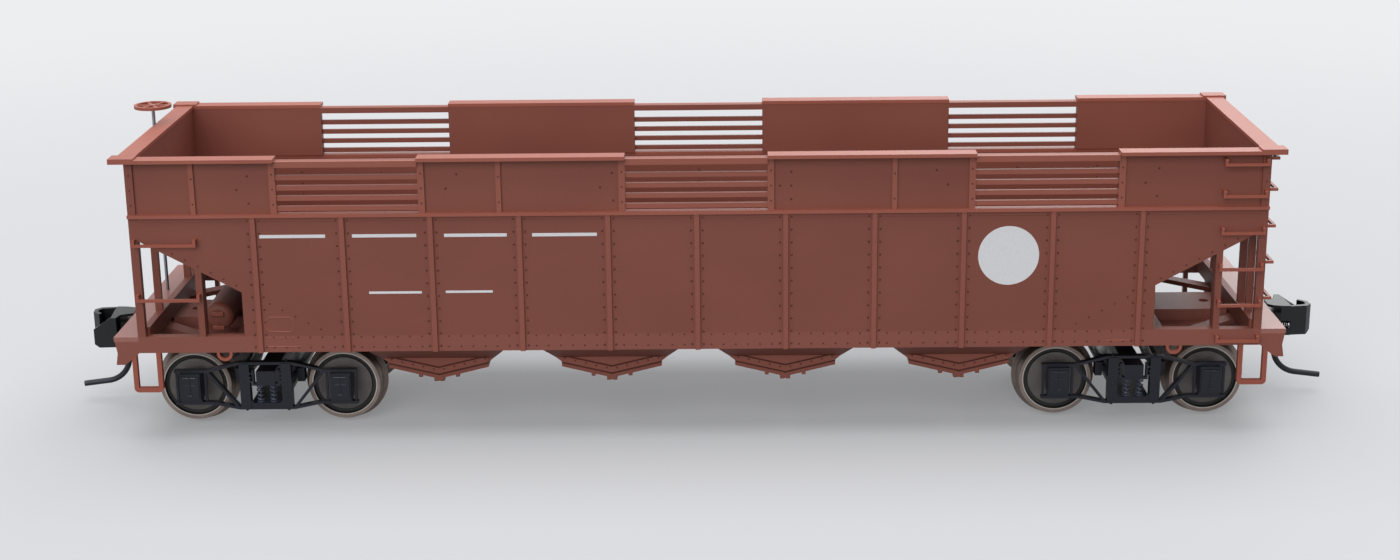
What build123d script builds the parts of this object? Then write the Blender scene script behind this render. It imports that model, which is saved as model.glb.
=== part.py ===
from build123d import *
import os
from math import atan2, cos, degrees, radians, sin

# Open hopper wagon, HO scale (1:87). Millimetres. X runs along the wagon, the brake wheel is at
# the -X end, -Y is the near side, Z is up from the lowest point of the wheel flanges.
# The wagon is the same when it is turned half a turn about Z, apart from its brake staff, so
# most pieces are drawn once, on the near side or at the +X end, and turned for their twin.

# ---- driving dimensions -------------------------------------------------------------------
# heights
SILL_BOTTOM = 12.0  # underside of the side sills and mouth of the chutes
SILL_TOP = 14.1  # top of the side sills and of the end decks
BELT_TOP = 30.0  # top of the flange between the sides and the raised racks
RIM_TOP = 37.1
RIM_THICKNESS = 0.45
# lengths
POST_MARGIN = 2.0  # last side post to the end of the lower side sheets
POSTS_A_SIDE = 5  # on each side of the middle one
CORNER_HALF = 70.6  # outer face of the corner posts
RIM_END_OVERHANG = 1.2
DECK_OVERHANG = 3.1  # end deck beyond the corner posts
TRUCK_SET_BACK = 14.77  # truck centres behind the corner posts
FOOT_SET_BACK = 13.5  # the side sheets stop and the open ends start here
# widths, from the centreline
SIDE_HALF = 16.9  # outer face of the side sheets
RACK_INSET = 0.3
RIM_OVERHANG = 1.05
# plates
WALL = 0.9
THIN = 0.6
POST_WIDTH = 0.62
POST_RISE = 0.35
CORNER_POST = 1.0
BELT_HEIGHT = 0.42
BELT_RISE = 0.45
SILL_FLANGE = 1.3  # top flange of the side sills in the open ends
# rim
RIM_SIDE = 2.3
RIM_END = 2.3
EAR_LENGTH = 3.1
EAR_OVERHANG = 0.45
EAR_RISE = 0.22
# slope sheets of the two ends
SLOPE_ANGLE = 28.3
SLOPE_FOOT_RISE = 5.8  # underside of the slope sheet over the side sill, at FOOT_X
# racks
RACK_SET_BACK = 26.4  # middle of an outer slatted opening behind the rack's end
RACK_HALF_GAP = 8.8  # half length of a slatted opening
RACK_STRIP = 0.8  # strip beside a slatted opening
INNER_STIFFENER = 24.45  # stiffeners on the inner panels
RAIL_HEIGHT = 0.75  # rail over the slats
RAIL_RISE = 0.3
SLATS = 4
SLAT_FIRST = 0.3
SLAT_LAST = 0.36  # gap from one more slat to the rail
SLAT_HEIGHT = 0.6
SLAT_DEPTH = 0.5
SLAT_RISE = 0.1
# hopper pockets
CHUTE_MARGIN = 2.52  # half the gap between two pockets
CHUTE_TAPER = 2.15  # how much the V's corners are nearer the middle than the mouth's ends
CHUTE_INSET = 1.9  # outer face of the chutes, inside the side sheets
CHUTE_BAND = 1.55  # height of the band that slopes in under the sill
CHUTE_NECK = 0.75  # how much the ends of that band narrow a pocket
CHUTE_END_DROP = 2.8  # from the mouth down to the outer corner of the V
CHUTE_DEPTH = 4.3  # from the mouth down to the point of the V
CHUTE_WALL = 0.6
SEAM_BAND = 0.85  # riveted flange over the doors
SEAM_RISE = 0.15
DOOR_THICKNESS = 0.65
DOOR_GAP = 0.3
LATCH_HALF = 0.65
LATCH_DROP = 0.35
LATCH_LENGTH = 1.2
RIDGE_HEIGHT = 4.4
RIDGE_WALL = 0.75
HOOD_HEIGHT = 5.0
HOOD_OVERHANG = 1.0
# centre sill
CENTRE_HALF = 3.9
CENTRE_RISE = 0.8  # top of the centre sill over the side sills' underside
CENTRE_DEPTH = 3.5
CENTRE_WALL = 0.7
COVER_THICKNESS = 0.7
COVER_BOTTOM_DROP = 1.8  # lower flange of the cover, under the centre sill's top
COVER_FLANGE = 2.1
COVER_FLANGE_THICKNESS = 0.3
COVER_HOLE_R = 0.66
# end frames
END_WALL_RISE = 1.0  # low cross wall over the deck
END_WALL_INSET = 1.3  # its inner face, inside the corner posts' outer face
END_POST_Y = 7.8
LADDER_STILE_Y = 12.0
SECOND_POST_WIDTH = 0.8
SECOND_POST_DEPTH = 1.8
SECOND_POST_LADDER = 5.7  # its middle behind the corner posts, at the ladder
SECOND_POST_BACK = 8.2  # and at the other corners
BOLSTER_HALF = 2.6
BOLSTER_PLATE_HALF = 3.57
BOLSTER_ROOT = 2.1  # length over which the bolster keeps its full depth
BOLSTER_DROP = 2.6  # its underside there, under the centre sill's top
BOLSTER_TIP = 2.0  # length of its shallow tip at the side sill
CENTRE_PLATE_R = 3.0
END_SILL_DEPTH = 3.05
END_SILL_INSET = 0.1
END_SILL_FOOT = 1.1
PINCH = 0.5
BRACE_FOOT_Y = 5.0
BRACE_FOOT = 2.7
BRACE_REACH = 1.77  # inner end of a brace beyond the truck's centre
BRACE_END = 2.0
# steps and grab irons
BAR = 0.36
GRAB_INSET = 0.1  # grab irons lie this much inside the rim's edge
GRAB_DROP = 0.55  # a rung hangs below its feet
STEP_HALF = 1.85
STEP_SET_BACK = 3.95  # middle of a step behind the deck's edge
STEP_DROP = 5.25
STEP_BAR = 0.6
STEP_DEPTH = 0.7
STEP_CORNER = 0.6
RING_OFFSET = 3.97  # tow rings beyond the truck's centre
RING_R = 1.0
RING_BAR = 0.36
RING_DROP = 0.15  # centre of a ring under the sill
# wheels
TREAD_R = 4.75
FLANGE_R = 5.35
WHEEL_BACK = 7.2
WHEEL_FACE = 9.93
WHEEL_RIM = 0.65  # flat ring round the face
WHEEL_GROOVE = 0.55  # groove inside that ring
WHEEL_HUB_R = 1.6
WHEELBASE = 19.4
AXLE_R = 0.95
JOURNAL_R = 0.6
JOURNAL_CLEARANCE = 0.08
JOURNAL_LENGTH = 1.25
# truck frames; heights are from the axles' centre line, lengths from the truck's middle
FRAME_HALF = 12.1  # middle plane of the arch bars, from the centreline
BAR_DEPTH = 0.9
BAR_THICKNESS = 0.35
ARCH_CROWN = 3.7  # top arch bar over the columns
ARCH_SEAT = 2.65  # top arch bar over the journal boxes
ARCH_BEND = 3.45
TIE_CROWN = -2.35  # tie bar under the columns
TIE_SEAT = -1.65  # tie bar under the journal boxes
TIE_BEND = 3.6
TIE_SLACK = 0.7  # the tie bar's outer bend is this much nearer the middle than the arch's
COLUMN_IN = 2.05
COLUMN_OUT = 3.35
COLUMN_DEPTH = 1.2
TEETH = [2.55, 1.95, 1.45]  # heights of the wear strips on the columns
TOOTH = 0.18
TOOTH_HEIGHT = 0.28
BOX_HALF = 1.35
BOX_SHOULDER = 2.1  # the bars stay flat this far each side of an axle
BOX_INNER = 11.0
BOX_OUTER = 13.2
BOX_BOTTOM = -1.05
LID_INSET = 0.15
LID_THICKNESS = 0.15
LID_RIDGE = 0.2
BOX_BOLT = 0.32
BOX_BOLT_X = 1.85
TRUCK_BOLSTER_HALF = 1.2
TRUCK_BOLSTER_BOTTOM = 0.95
TRUCK_BOLSTER_TOP = 2.65
POCKET_HALF = 1.8  # frame round the end of the truck bolster
POCKET_BAR = 0.28
POCKET_DEPTH = 0.9
TRUCK_END = 0.5  # bolster and plank ends beyond the arch bars' middle plane
TRUCK_PLATE_GAP = 0.15
PIN_R = 1.0
PIN_CLEARANCE = 0.12
PIN_REACH = 2.3  # the truck's pin inside the centre sill
PLANK_THICKNESS = 0.55
PLANK_LIP = 0.28
SPRING_R = 0.5
SPRING_X = 0.85
SHOE_GAP = 0.45  # brake shoe to tread
SHOE_THICKNESS = 0.9
SHOE_BOTTOM = 0.3
SHOE_TOP = 2.1
SHOE_INNER = 8.15
SHOE_OUTER = 9.7
BEAM_WIDTH = 0.6
BEAM_LINK_Y = 4.6
# couplers; lengths along X are from the swing pin
COUPLER_SET_BACK = 6.6  # swing pin behind the deck's edge
SHANK_HALF = 1.1
SHANK_HEIGHT = 1.6
SHANK_EYE_R = 2.1
COUPLER_PIN_R = 0.9
COUPLER_CLEARANCE = 0.1
BOX_LENGTH = 9.7
BOX_LIP = 0.3  # draft box beyond the deck's edge
BOX_Y = 3.3
BOX_WALL = 0.6
BOX_SLACK = 0.2
HEAD_HEIGHT = 4.05
HEAD_BACK = 8.3
HEAD_THROAT = 9.9
KNUCKLE_JOINT = 11.2
KNUCKLE_SLACK = 0.05
LUG_THICKNESS = 0.35
LUG_GAP = 0.65
SPRING_SLOT_DROP = 0.6  # middle of the knuckle spring's slot, under the head's middle
SPRING_SLOT = 1.1
TRIP_R = 0.38
TRIP_X = 9.7
TRIP_LOW = 3.1
TRIP_REACH = 16.0
TRIP_TIP = 2.3
TRIP_BEND = 3.4
# brake
STAFF_SET_BACK = 1.6
STAFF_Y = 4.6
STAFF_R = 0.22
BRAKE_WHEEL_R = 2.43
BRAKE_WHEEL_RISE = 2.3  # over the rim
BRAKE_RING = 0.4
BRAKE_SPOKES = 3
TANK_OFFSET = 5.77  # tank beyond the truck's centre
TANK_R = 1.9
TANK_LIFT = 0.25  # tank over the centre sill
TANK_NEAR = 11.5
TANK_FAR = 1.5
TANK_DOME = 0.9
TANK_LUG_R = 0.25

# ---- sizes worked out from those ----------------------------------------------------------
RACK_HALF = SIDE_HALF - RACK_INSET
RIM_HALF = SIDE_HALF + RIM_OVERHANG
RIM_HALF_LENGTH = CORNER_HALF + RIM_END_OVERHANG
RIM_BOTTOM = RIM_TOP - RIM_THICKNESS
DECK_HALF = CORNER_HALF + DECK_OVERHANG
GRAB_OUT = RIM_HALF - GRAB_INSET
CHUTE_SIDE_HALF = SIDE_HALF - CHUTE_INSET
TRUCK_X = CORNER_HALF - TRUCK_SET_BACK
FOOT_X = CORNER_HALF - FOOT_SET_BACK
POST_PITCH = (FOOT_X - POST_MARGIN) / POSTS_A_SIDE
CHUTE_TOP_HALF = POST_PITCH - CHUTE_MARGIN
CHUTE_END_HALF = CHUTE_TOP_HALF - CHUTE_TAPER
SECOND_POST_NEAR_LADDER = CORNER_HALF - SECOND_POST_LADDER
SECOND_POST_OTHER = CORNER_HALF - SECOND_POST_BACK
BRACE_END_X = TRUCK_X + BRACE_REACH
RING_X = TRUCK_X + RING_OFFSET
TANK_X = -TRUCK_X - TANK_OFFSET
CENTRE_TOP = SILL_BOTTOM + CENTRE_RISE
CENTRE_BOTTOM = CENTRE_TOP - CENTRE_DEPTH
SLOPE_FOOT_Z = SILL_TOP + SLOPE_FOOT_RISE
SHEET_IN = SIDE_HALF - WALL
POST_OUT = SIDE_HALF + POST_RISE
BELT_OUT = SIDE_HALF + BELT_RISE
BELT_BOTTOM = BELT_TOP - BELT_HEIGHT
CORNER_IN = CORNER_HALF - CORNER_POST
RACK_IN = RACK_HALF - WALL
RACK_PITCH = CORNER_IN - RACK_SET_BACK
RACK_HEIGHT = RIM_BOTTOM - BELT_TOP
SLAT_PITCH = (RACK_HEIGHT - RAIL_HEIGHT - SLAT_FIRST - SLAT_LAST) / SLATS
END_WALL_IN = CORNER_HALF - END_WALL_INSET
END_WALL_OUT = END_WALL_IN + WALL
SLOPE = sin(radians(SLOPE_ANGLE)) / cos(radians(SLOPE_ANGLE))
SLOPE_RISE = WALL / cos(radians(SLOPE_ANGLE))
AXLE_Z = FLANGE_R
AXLE_X = WHEELBASE / 2
AXLE_HALF = BOX_INNER + JOURNAL_LENGTH
BOX_TOP = AXLE_Z + ARCH_SEAT - BAR_THICKNESS / 2
PLANK_BOTTOM = AXLE_Z + TIE_CROWN + BAR_THICKNESS / 2
PLANK_TOP = PLANK_BOTTOM + PLANK_THICKNESS
COUPLER_X = DECK_HALF - COUPLER_SET_BACK
BOX_FRONT = DECK_HALF + BOX_LIP
BOX_BACK = BOX_FRONT - BOX_LENGTH
CENTRE_END = BOX_BACK
DRAFT_TOP = CENTRE_TOP - COVER_THICKNESS
COUPLER_Z = DRAFT_TOP - BOX_WALL - BOX_SLACK - SHANK_HEIGHT / 2
DRAFT_BOTTOM = COUPLER_Z - SHANK_HEIGHT / 2 - BOX_SLACK - BOX_WALL
HEAD_TOP = COUPLER_Z + HEAD_HEIGHT / 2
HEAD_LOW = COUPLER_Z - HEAD_HEIGHT / 2
STAFF_X = -(DECK_HALF - STAFF_SET_BACK)
BRAKE_WHEEL_Z = RIM_TOP + BRAKE_WHEEL_RISE
STEP_X = DECK_HALF - STEP_SET_BACK
STEP_BOTTOM = SILL_BOTTOM - STEP_DROP
POSTS = [POST_PITCH * k for k in range(-POSTS_A_SIDE, POSTS_A_SIDE + 1)]
POCKETS = [POST_PITCH * k for k in (-3, -1, 1, 3)]
RIDGES = [POST_PITCH * k for k in (-2, 0, 2)]
RACKS = [-RACK_PITCH, 0.0, RACK_PITCH]
STIFFENERS = [-SECOND_POST_OTHER, -INNER_STIFFENER, INNER_STIFFENER]
WHEELSETS = [  # node number, truck sign, side of that truck
    (1, -1, -1),
    (2, -1, 1),
    (3, 1, -1),
    (4, 1, 1),
]


# ---- helpers ------------------------------------------------------------------------------
def slab(x0, x1, y0, y1, z0, z1):
    """A box from its two corners."""
    middle = Pos((x0 + x1) / 2, (y0 + y1) / 2, (z0 + z1) / 2)
    return middle * Box(abs(x1 - x0), abs(y1 - y0), abs(z1 - z0))


def near(x0, x1, inner, outer, z0, z1):
    """A box on the near side, between two distances from the centreline."""
    return slab(x0, x1, -outer, -inner, z0, z1)


def along_y(points, y0, y1):
    """An outline of (x, z) points drawn out from y0 to y1."""
    face = make_face(Polyline(*[(x, y0, z) for x, z in points], close=True))
    return extrude(face, amount=y1 - y0, dir=(0, 1, 0))


def along_x(points, x0, x1):
    """An outline of (y, z) points drawn out from x0 to x1."""
    face = make_face(Polyline(*[(x0, y, z) for y, z in points], close=True))
    return extrude(face, amount=x1 - x0, dir=(1, 0, 0))


def along_z(points, z0, z1):
    """An outline of (x, y) points drawn out from z0 to z1."""
    face = make_face(Polyline(*[(x, y, z0) for x, y in points], close=True))
    return extrude(face, amount=z1 - z0, dir=(0, 0, 1))


def upright(x, y, r, z0, z1):
    """A vertical cylinder."""
    return Pos(x, y, (z0 + z1) / 2) * Cylinder(r, z1 - z0)


def crosswise(x, z, r, y0, y1):
    """A cylinder along Y."""
    return Pos(x, (y0 + y1) / 2, z) * Rot(90, 0, 0) * Cylinder(r, abs(y1 - y0))


def bar(a, b, depth, thickness):
    """A flat bar in an XZ plane, from point a to point b."""
    length = ((b[0] - a[0]) ** 2 + (b[2] - a[2]) ** 2) ** 0.5
    turn = -degrees(atan2(b[2] - a[2], b[0] - a[0]))
    middle = Pos((a[0] + b[0]) / 2, a[1], (a[2] + b[2]) / 2)
    return middle * Rot(0, turn, 0) * Box(length, depth, thickness)


def turned(shape):
    """The same piece after half a turn about Z."""
    return Rot(0, 0, 180) * shape


def mirrored(shape):
    """The same piece on the other side of the centreline."""
    return mirror(shape, about=Plane.XZ)


def joined(pieces):
    """Fuses a list of pieces."""
    result = pieces[0]
    for piece in pieces[1:]:
        result = result + piece
    return result


def save(name, shape):
    """Writes one node."""
    export_step(shape, f"parts/{name}.step")


def group(shapes):
    """One node's solids, side by side."""
    return Compound([solid for shape in shapes for solid in shape.solids()])


def save_pair(name, shape):
    """Writes a near-side or +X piece and its twin as two nodes."""
    save(f"{name}_1", shape)
    save(f"{name}_2", turned(shape))


def save_both(name, shape):
    """Writes a near-side or +X piece and its twin as one node."""
    save(name, group([shape, turned(shape)]))


def slope_z(x):
    """Underside of the slope sheet at a distance x from the middle."""
    return SLOPE_FOOT_Z + (x - FOOT_X) * SLOPE


def slope_x(z):
    """Distance from the middle at which the slope sheet's underside is at z."""
    return FOOT_X + (z - SLOPE_FOOT_Z) / SLOPE


# ---- sides --------------------------------------------------------------------------------
def side_sheet():
    outline = [(-FOOT_X, SILL_TOP), (-FOOT_X, SLOPE_FOOT_Z), (-CORNER_IN, slope_z(CORNER_IN))]
    outline += [(-CORNER_IN, BELT_BOTTOM), (CORNER_IN, BELT_BOTTOM)]
    outline += [(CORNER_IN, slope_z(CORNER_IN)), (FOOT_X, SLOPE_FOOT_Z), (FOOT_X, SILL_TOP)]
    return along_y(outline, -SIDE_HALF, -SHEET_IN)


def side_sill():
    """The near side sill, with its top flange turned in at the open ends."""
    sill = near(-CORNER_HALF, CORNER_HALF, SHEET_IN, SIDE_HALF, SILL_BOTTOM, SILL_TOP)
    for side in (-1, 1):
        ends = (side * FOOT_X, side * CORNER_HALF)
        sill += near(*ends, SIDE_HALF - SILL_FLANGE, SIDE_HALF, SILL_TOP - THIN, SILL_TOP)
    return sill


def side_posts():
    half = POST_WIDTH / 2
    posts = [near(x - half, x + half, SIDE_HALF, POST_OUT, SILL_BOTTOM, BELT_BOTTOM) for x in POSTS]
    return Compound(posts)


def belt():
    ledge = near(-CORNER_IN, CORNER_IN, SHEET_IN, BELT_OUT, BELT_BOTTOM, BELT_TOP)
    lip = near(-CORNER_HALF, CORNER_HALF, SIDE_HALF, BELT_OUT, BELT_BOTTOM, BELT_TOP)
    return ledge + lip


def rack_side():
    """The raised panels, their stiffeners, and the rails and slats between them."""
    pieces = []
    ends = [-CORNER_IN]
    for centre in RACKS:
        ends += [centre - RACK_HALF_GAP, centre + RACK_HALF_GAP]
    ends.append(CORNER_IN)
    for left, right in zip(ends[0::2], ends[1::2]):
        pieces.append(near(left, right, RACK_IN, RACK_HALF, BELT_TOP, RIM_BOTTOM))
    for left, right in zip(ends[1::2], ends[2::2]):
        for x0 in (left - RACK_STRIP, right):
            pieces.append(near(x0, x0 + RACK_STRIP, RACK_HALF, SIDE_HALF, BELT_TOP, RIM_BOTTOM))
        low = RIM_BOTTOM - RAIL_HEIGHT
        pieces.append(near(left, right, RACK_IN, SIDE_HALF + RAIL_RISE, low, RIM_BOTTOM))
        outer = RACK_HALF + SLAT_RISE
        for k in range(SLATS):
            z0 = BELT_TOP + SLAT_FIRST + k * SLAT_PITCH
            pieces.append(near(left, right, outer - SLAT_DEPTH, outer, z0, z0 + SLAT_HEIGHT))
    for middle in STIFFENERS:
        x0 = middle - POST_WIDTH / 2
        pieces.append(near(x0, x0 + POST_WIDTH, RACK_HALF, SIDE_HALF, BELT_TOP, RIM_BOTTOM))
    return joined(pieces)


def corner_posts():
    """The two corner posts of the +X end."""
    post = near(CORNER_IN, CORNER_HALF, SIDE_HALF - CORNER_POST, SIDE_HALF, SILL_TOP, RIM_BOTTOM)
    return Compound([post, mirrored(post)])


def rim_end():
    """The rim round the +X end, with its two raised corner ears."""
    inner = RIM_HALF - RIM_SIDE
    start = RACKS[2] + RACK_HALF_GAP
    rim = slab(RIM_HALF_LENGTH - RIM_END, RIM_HALF_LENGTH, -RIM_HALF, RIM_HALF, RIM_BOTTOM, RIM_TOP)
    tip = RIM_HALF_LENGTH + EAR_OVERHANG
    top = RIM_TOP + EAR_RISE
    for side in (-1, 1):
        rim += slab(start, RIM_HALF_LENGTH, side * inner, side * RIM_HALF, RIM_BOTTOM, RIM_TOP)
        rim += slab(tip - EAR_LENGTH, tip, side * inner, side * RIM_HALF, RIM_BOTTOM, top)
    return rim


def rim_middle():
    """The four lengths of rim between the slatted openings."""
    pieces = []
    for left, right in zip(RACKS, RACKS[1:]):
        ends = (left + RACK_HALF_GAP, right - RACK_HALF_GAP)
        length = near(*ends, RIM_HALF - RIM_SIDE, RIM_HALF, RIM_BOTTOM, RIM_TOP)
        pieces += [length, mirrored(length)]
    return Compound(pieces)


# ---- ends and floor of the load space -----------------------------------------------------
def end_wall():
    half = SIDE_HALF - CORNER_POST
    return slab(CORNER_IN, CORNER_IN + WALL, -half, half, slope_z(CORNER_IN), RIM_BOTTOM)


def centre_outline():
    """A block over the centre sill, cut from what crosses it."""
    return slab(-CENTRE_END, CENTRE_END, -CENTRE_HALF, CENTRE_HALF, CENTRE_BOTTOM, CENTRE_TOP)


def hood_outline():
    half = CENTRE_HALF + HOOD_OVERHANG
    return [(-half, SILL_BOTTOM), (0, SILL_BOTTOM + HOOD_HEIGHT), (half, SILL_BOTTOM)]


def hood_end():
    """Where the slope sheet's top face meets the foot of the hood."""
    return slope_x(SILL_BOTTOM - SLOPE_RISE)


def slope_sheet():
    foot = slope_x(SILL_BOTTOM)
    outline = [(foot, SILL_BOTTOM), (CORNER_IN, slope_z(CORNER_IN))]
    outline += [(CORNER_IN, slope_z(CORNER_IN) + SLOPE_RISE), (hood_end(), SILL_BOTTOM)]
    sheet = along_y(outline, -SHEET_IN, SHEET_IN)
    return sheet - centre_outline()


def hood():
    """The cover over the centre sill inside the pockets, cut back along both slope sheets."""
    roof = SILL_BOTTOM + HOOD_HEIGHT
    solid = along_x(hood_outline(), -CENTRE_END, CENTRE_END)
    inner = [(-CENTRE_HALF, SILL_BOTTOM - 1), (-CENTRE_HALF, CENTRE_TOP)]
    inner += [(0, roof - CENTRE_WALL - 0.1), (CENTRE_HALF, CENTRE_TOP), (CENTRE_HALF, SILL_BOTTOM - 1)]
    solid -= along_x(inner, -CENTRE_END - 1, CENTRE_END + 1)
    keep = [(-hood_end(), SILL_BOTTOM), (hood_end(), SILL_BOTTOM)]
    top = roof + 1
    reach = slope_x(top - SLOPE_RISE)
    keep += [(reach, top), (-reach, top)]
    return solid & along_y(keep, -RIM_HALF, RIM_HALF)


def ridges():
    """The cross ridges between the pockets, each in two halves beside the hood."""
    half = POST_PITCH - (CHUTE_TOP_HALF - CHUTE_WALL)
    rise = RIDGE_HEIGHT / half
    drop = RIDGE_WALL * rise
    top = SILL_BOTTOM + RIDGE_HEIGHT
    halves = []
    for x in RIDGES:
        outline = [(x - half, SILL_BOTTOM), (x, top), (x + half, SILL_BOTTOM)]
        outline += [(x + half - RIDGE_WALL, SILL_BOTTOM), (x, top - drop)]
        outline += [(x - half + RIDGE_WALL, SILL_BOTTOM)]
        ridge = along_y(outline, -SHEET_IN, SHEET_IN)
        ridge -= along_x(hood_outline(), x - POST_PITCH, x + POST_PITCH)
        halves += ridge.solids()
    return Compound(halves)


def chute_profile(x, wall, floor):
    """The (x, z) outline of a pocket; wall moves it in and floor lifts its V."""
    point = SILL_BOTTOM - CHUTE_DEPTH + floor
    corner = SILL_BOTTOM - CHUTE_END_DROP + floor
    shoulder = SILL_BOTTOM - CHUTE_BAND
    half = CHUTE_TOP_HALF - wall
    low = CHUTE_END_HALF - wall
    right = [(half, SILL_BOTTOM), (low + CHUTE_NECK, shoulder), (low, corner), (0, point)]
    outline = [(x + dx, z) for dx, z in right]
    return outline + [(x - dx, z) for dx, z in reversed(right[:-1])]


def chute_section(wall):
    """The (y, z) outline of the near half of a pocket."""
    low = SILL_BOTTOM - CHUTE_DEPTH - 1
    shoulder = SILL_BOTTOM - CHUTE_BAND
    inner = -CENTRE_HALF - wall
    side = -CHUTE_SIDE_HALF + wall
    outline = [(inner, SILL_BOTTOM), (-SIDE_HALF + wall, SILL_BOTTOM), (side, shoulder)]
    return outline + [(side, low), (inner, low)]


def seam(x):
    """The riveted V-shaped flange on a pocket's near face, over its doors."""
    point = SILL_BOTTOM - CHUTE_DEPTH + DOOR_THICKNESS
    corner = SILL_BOTTOM - CHUTE_END_DROP + DOOR_THICKNESS
    shoulder = SILL_BOTTOM - CHUTE_BAND
    half = CHUTE_END_HALF
    outline = [(x - half, corner), (x, point), (x + half, corner)]
    outline += [(x + half, corner + SEAM_BAND), (x, point + SEAM_BAND), (x - half, corner + SEAM_BAND)]
    band = along_y(outline, -CHUTE_SIDE_HALF - SEAM_RISE, -CHUTE_SIDE_HALF)
    return band & near(x - half, x + half, 0, SIDE_HALF, point, shoulder)


def chute(x):
    """One pocket below the sills: a near and a far half, open above and below."""
    reach = CHUTE_TOP_HALF + 1
    outer = along_y(chute_profile(x, 0, DOOR_THICKNESS), -SIDE_HALF, 0)
    outer = outer & along_x(chute_section(0), x - reach, x + reach)
    inside = along_y(chute_profile(x, CHUTE_WALL, -1), -SIDE_HALF, 0)
    inside = inside & along_x(chute_section(CHUTE_WALL), x - reach, x + reach)
    half = outer - inside + seam(x)
    return Compound([half, mirrored(half)])


def doors(x):
    """The four leaves that close one pocket, meeting in a V, each with half of a latch."""
    point = SILL_BOTTOM - CHUTE_DEPTH
    corner = SILL_BOTTOM - CHUTE_END_DROP
    top = DOOR_THICKNESS
    leaves = []
    for side in (-1, 1):
        a = x + side * DOOR_GAP / 2
        b = x + side * CHUTE_END_HALF
        end = CHUTE_SIDE_HALF
        leaf = along_y([(a, point), (b, corner), (b, corner + top), (a, point + top)], -end, -CENTRE_HALF)
        leaf += near(a, x + side * LATCH_HALF, end - LATCH_LENGTH, end, point - LATCH_DROP, point + top / 2)
        leaves += [leaf, mirrored(leaf)]
    return Compound(leaves)


# ---- underframe ---------------------------------------------------------------------------
def centre_sill():
    sill = centre_outline()
    inside = CENTRE_HALF - CENTRE_WALL
    sill -= slab(-CENTRE_END, CENTRE_END, -inside, inside, CENTRE_BOTTOM, CENTRE_TOP - CENTRE_WALL)
    return sill


def bolster():
    """The body bolster of the +X end, with its centre plate and the bore for the truck's pin."""
    left = TRUCK_X - BOLSTER_HALF
    right = TRUCK_X + BOLSTER_HALF
    top = CENTRE_TOP
    root = -CENTRE_HALF - BOLSTER_ROOT
    tip = -SHEET_IN + BOLSTER_TIP
    web = [(-CENTRE_HALF, top), (-CENTRE_HALF, top - BOLSTER_DROP), (root, top - BOLSTER_DROP)]
    web += [(tip, SILL_BOTTOM), (-SHEET_IN, SILL_BOTTOM), (-SHEET_IN, top)]
    beam = along_x(web, left, right)
    plate_ends = (TRUCK_X - BOLSTER_PLATE_HALF, TRUCK_X + BOLSTER_PLATE_HALF)
    beam += near(*plate_ends, CENTRE_HALF, SHEET_IN, top - THIN, top)
    inside = CENTRE_HALF - CENTRE_WALL
    filler = slab(left, right, -inside, inside, CENTRE_BOTTOM, top - CENTRE_WALL)
    bore = upright(TRUCK_X, 0, PIN_R + PIN_CLEARANCE, CENTRE_BOTTOM - 1, top)
    return group([beam, mirrored(beam), filler - bore])


def sill_cover():
    """The cover over the +X draft box, its side webs and the flanges that jut out below them."""
    low = CENTRE_TOP - COVER_BOTTOM_DROP
    cover = slab(CENTRE_END, END_WALL_IN, -CENTRE_HALF, CENTRE_HALF, low, CENTRE_TOP)
    cover -= slab(CENTRE_END, END_WALL_IN, -BOX_Y, BOX_Y, low, DRAFT_TOP)
    cover -= upright(COUPLER_X, 0, COVER_HOLE_R, low, CENTRE_TOP)
    reach = (CENTRE_HALF, CENTRE_HALF + COVER_FLANGE)
    flange = near(TRUCK_X + BOLSTER_HALF, END_WALL_IN, *reach, low, low + COVER_FLANGE_THICKNESS)
    return cover + flange + mirrored(flange)


def deck():
    """The plate outside the low cross wall of the +X end, cut round the side sills."""
    plate = slab(END_WALL_OUT, DECK_HALF, -SIDE_HALF, SIDE_HALF, SILL_TOP - THIN, SILL_TOP)
    corner = near(0, CORNER_HALF, SIDE_HALF - SILL_FLANGE, SIDE_HALF + 1, SILL_BOTTOM, SILL_TOP)
    return plate - corner - mirrored(corner)


def end_sill():
    """The end sill, pinched below its middle, with the opening for the draft box."""
    top = SILL_TOP - THIN
    low = top - END_SILL_DEPTH
    face = DECK_HALF - END_SILL_INSET
    outline = [(CORNER_HALF, top), (face, top), (face - 0.5 * PINCH, top - 0.5 * END_SILL_DEPTH)]
    outline += [(face, low), (face - END_SILL_FOOT, low)]
    outline += [(CORNER_HALF + PINCH, SILL_BOTTOM - PINCH), (CORNER_HALF, SILL_BOTTOM)]
    sill = along_y(outline, -SIDE_HALF, SIDE_HALF)
    return sill - slab(CORNER_HALF - 1, DECK_HALF + 1, -BOX_Y, BOX_Y, DRAFT_BOTTOM - 1, DRAFT_TOP)


def coupler_box():
    """The draft box of the +X end, with the pin that the coupler swings on."""
    box = slab(BOX_BACK, BOX_FRONT, -BOX_Y, BOX_Y, DRAFT_BOTTOM, DRAFT_TOP)
    y = BOX_Y - BOX_WALL
    box -= slab(BOX_BACK + BOX_WALL, BOX_FRONT, -y, y, DRAFT_BOTTOM + BOX_WALL, DRAFT_TOP - BOX_WALL)
    return box + upright(COUPLER_X, 0, COUPLER_PIN_R, DRAFT_BOTTOM, DRAFT_TOP)


def end_frame():
    """The low cross wall by the deck, the end posts above it and the ladder's inner stile."""
    top = SILL_TOP + END_WALL_RISE
    half = SIDE_HALF - SILL_FLANGE
    frame = slab(END_WALL_IN, END_WALL_OUT, -half, half, CENTRE_TOP, top)
    half = SIDE_HALF - CORNER_POST
    frame += slab(END_WALL_IN, END_WALL_OUT, -half, half, SILL_TOP, top)
    for y in (-LADDER_STILE_Y, -END_POST_Y, END_POST_Y):
        ends = (y - THIN / 2, y + THIN / 2)
        frame += slab(CORNER_IN, CORNER_IN + WALL, *ends, SILL_TOP, slope_z(CORNER_IN))
    return frame


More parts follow.
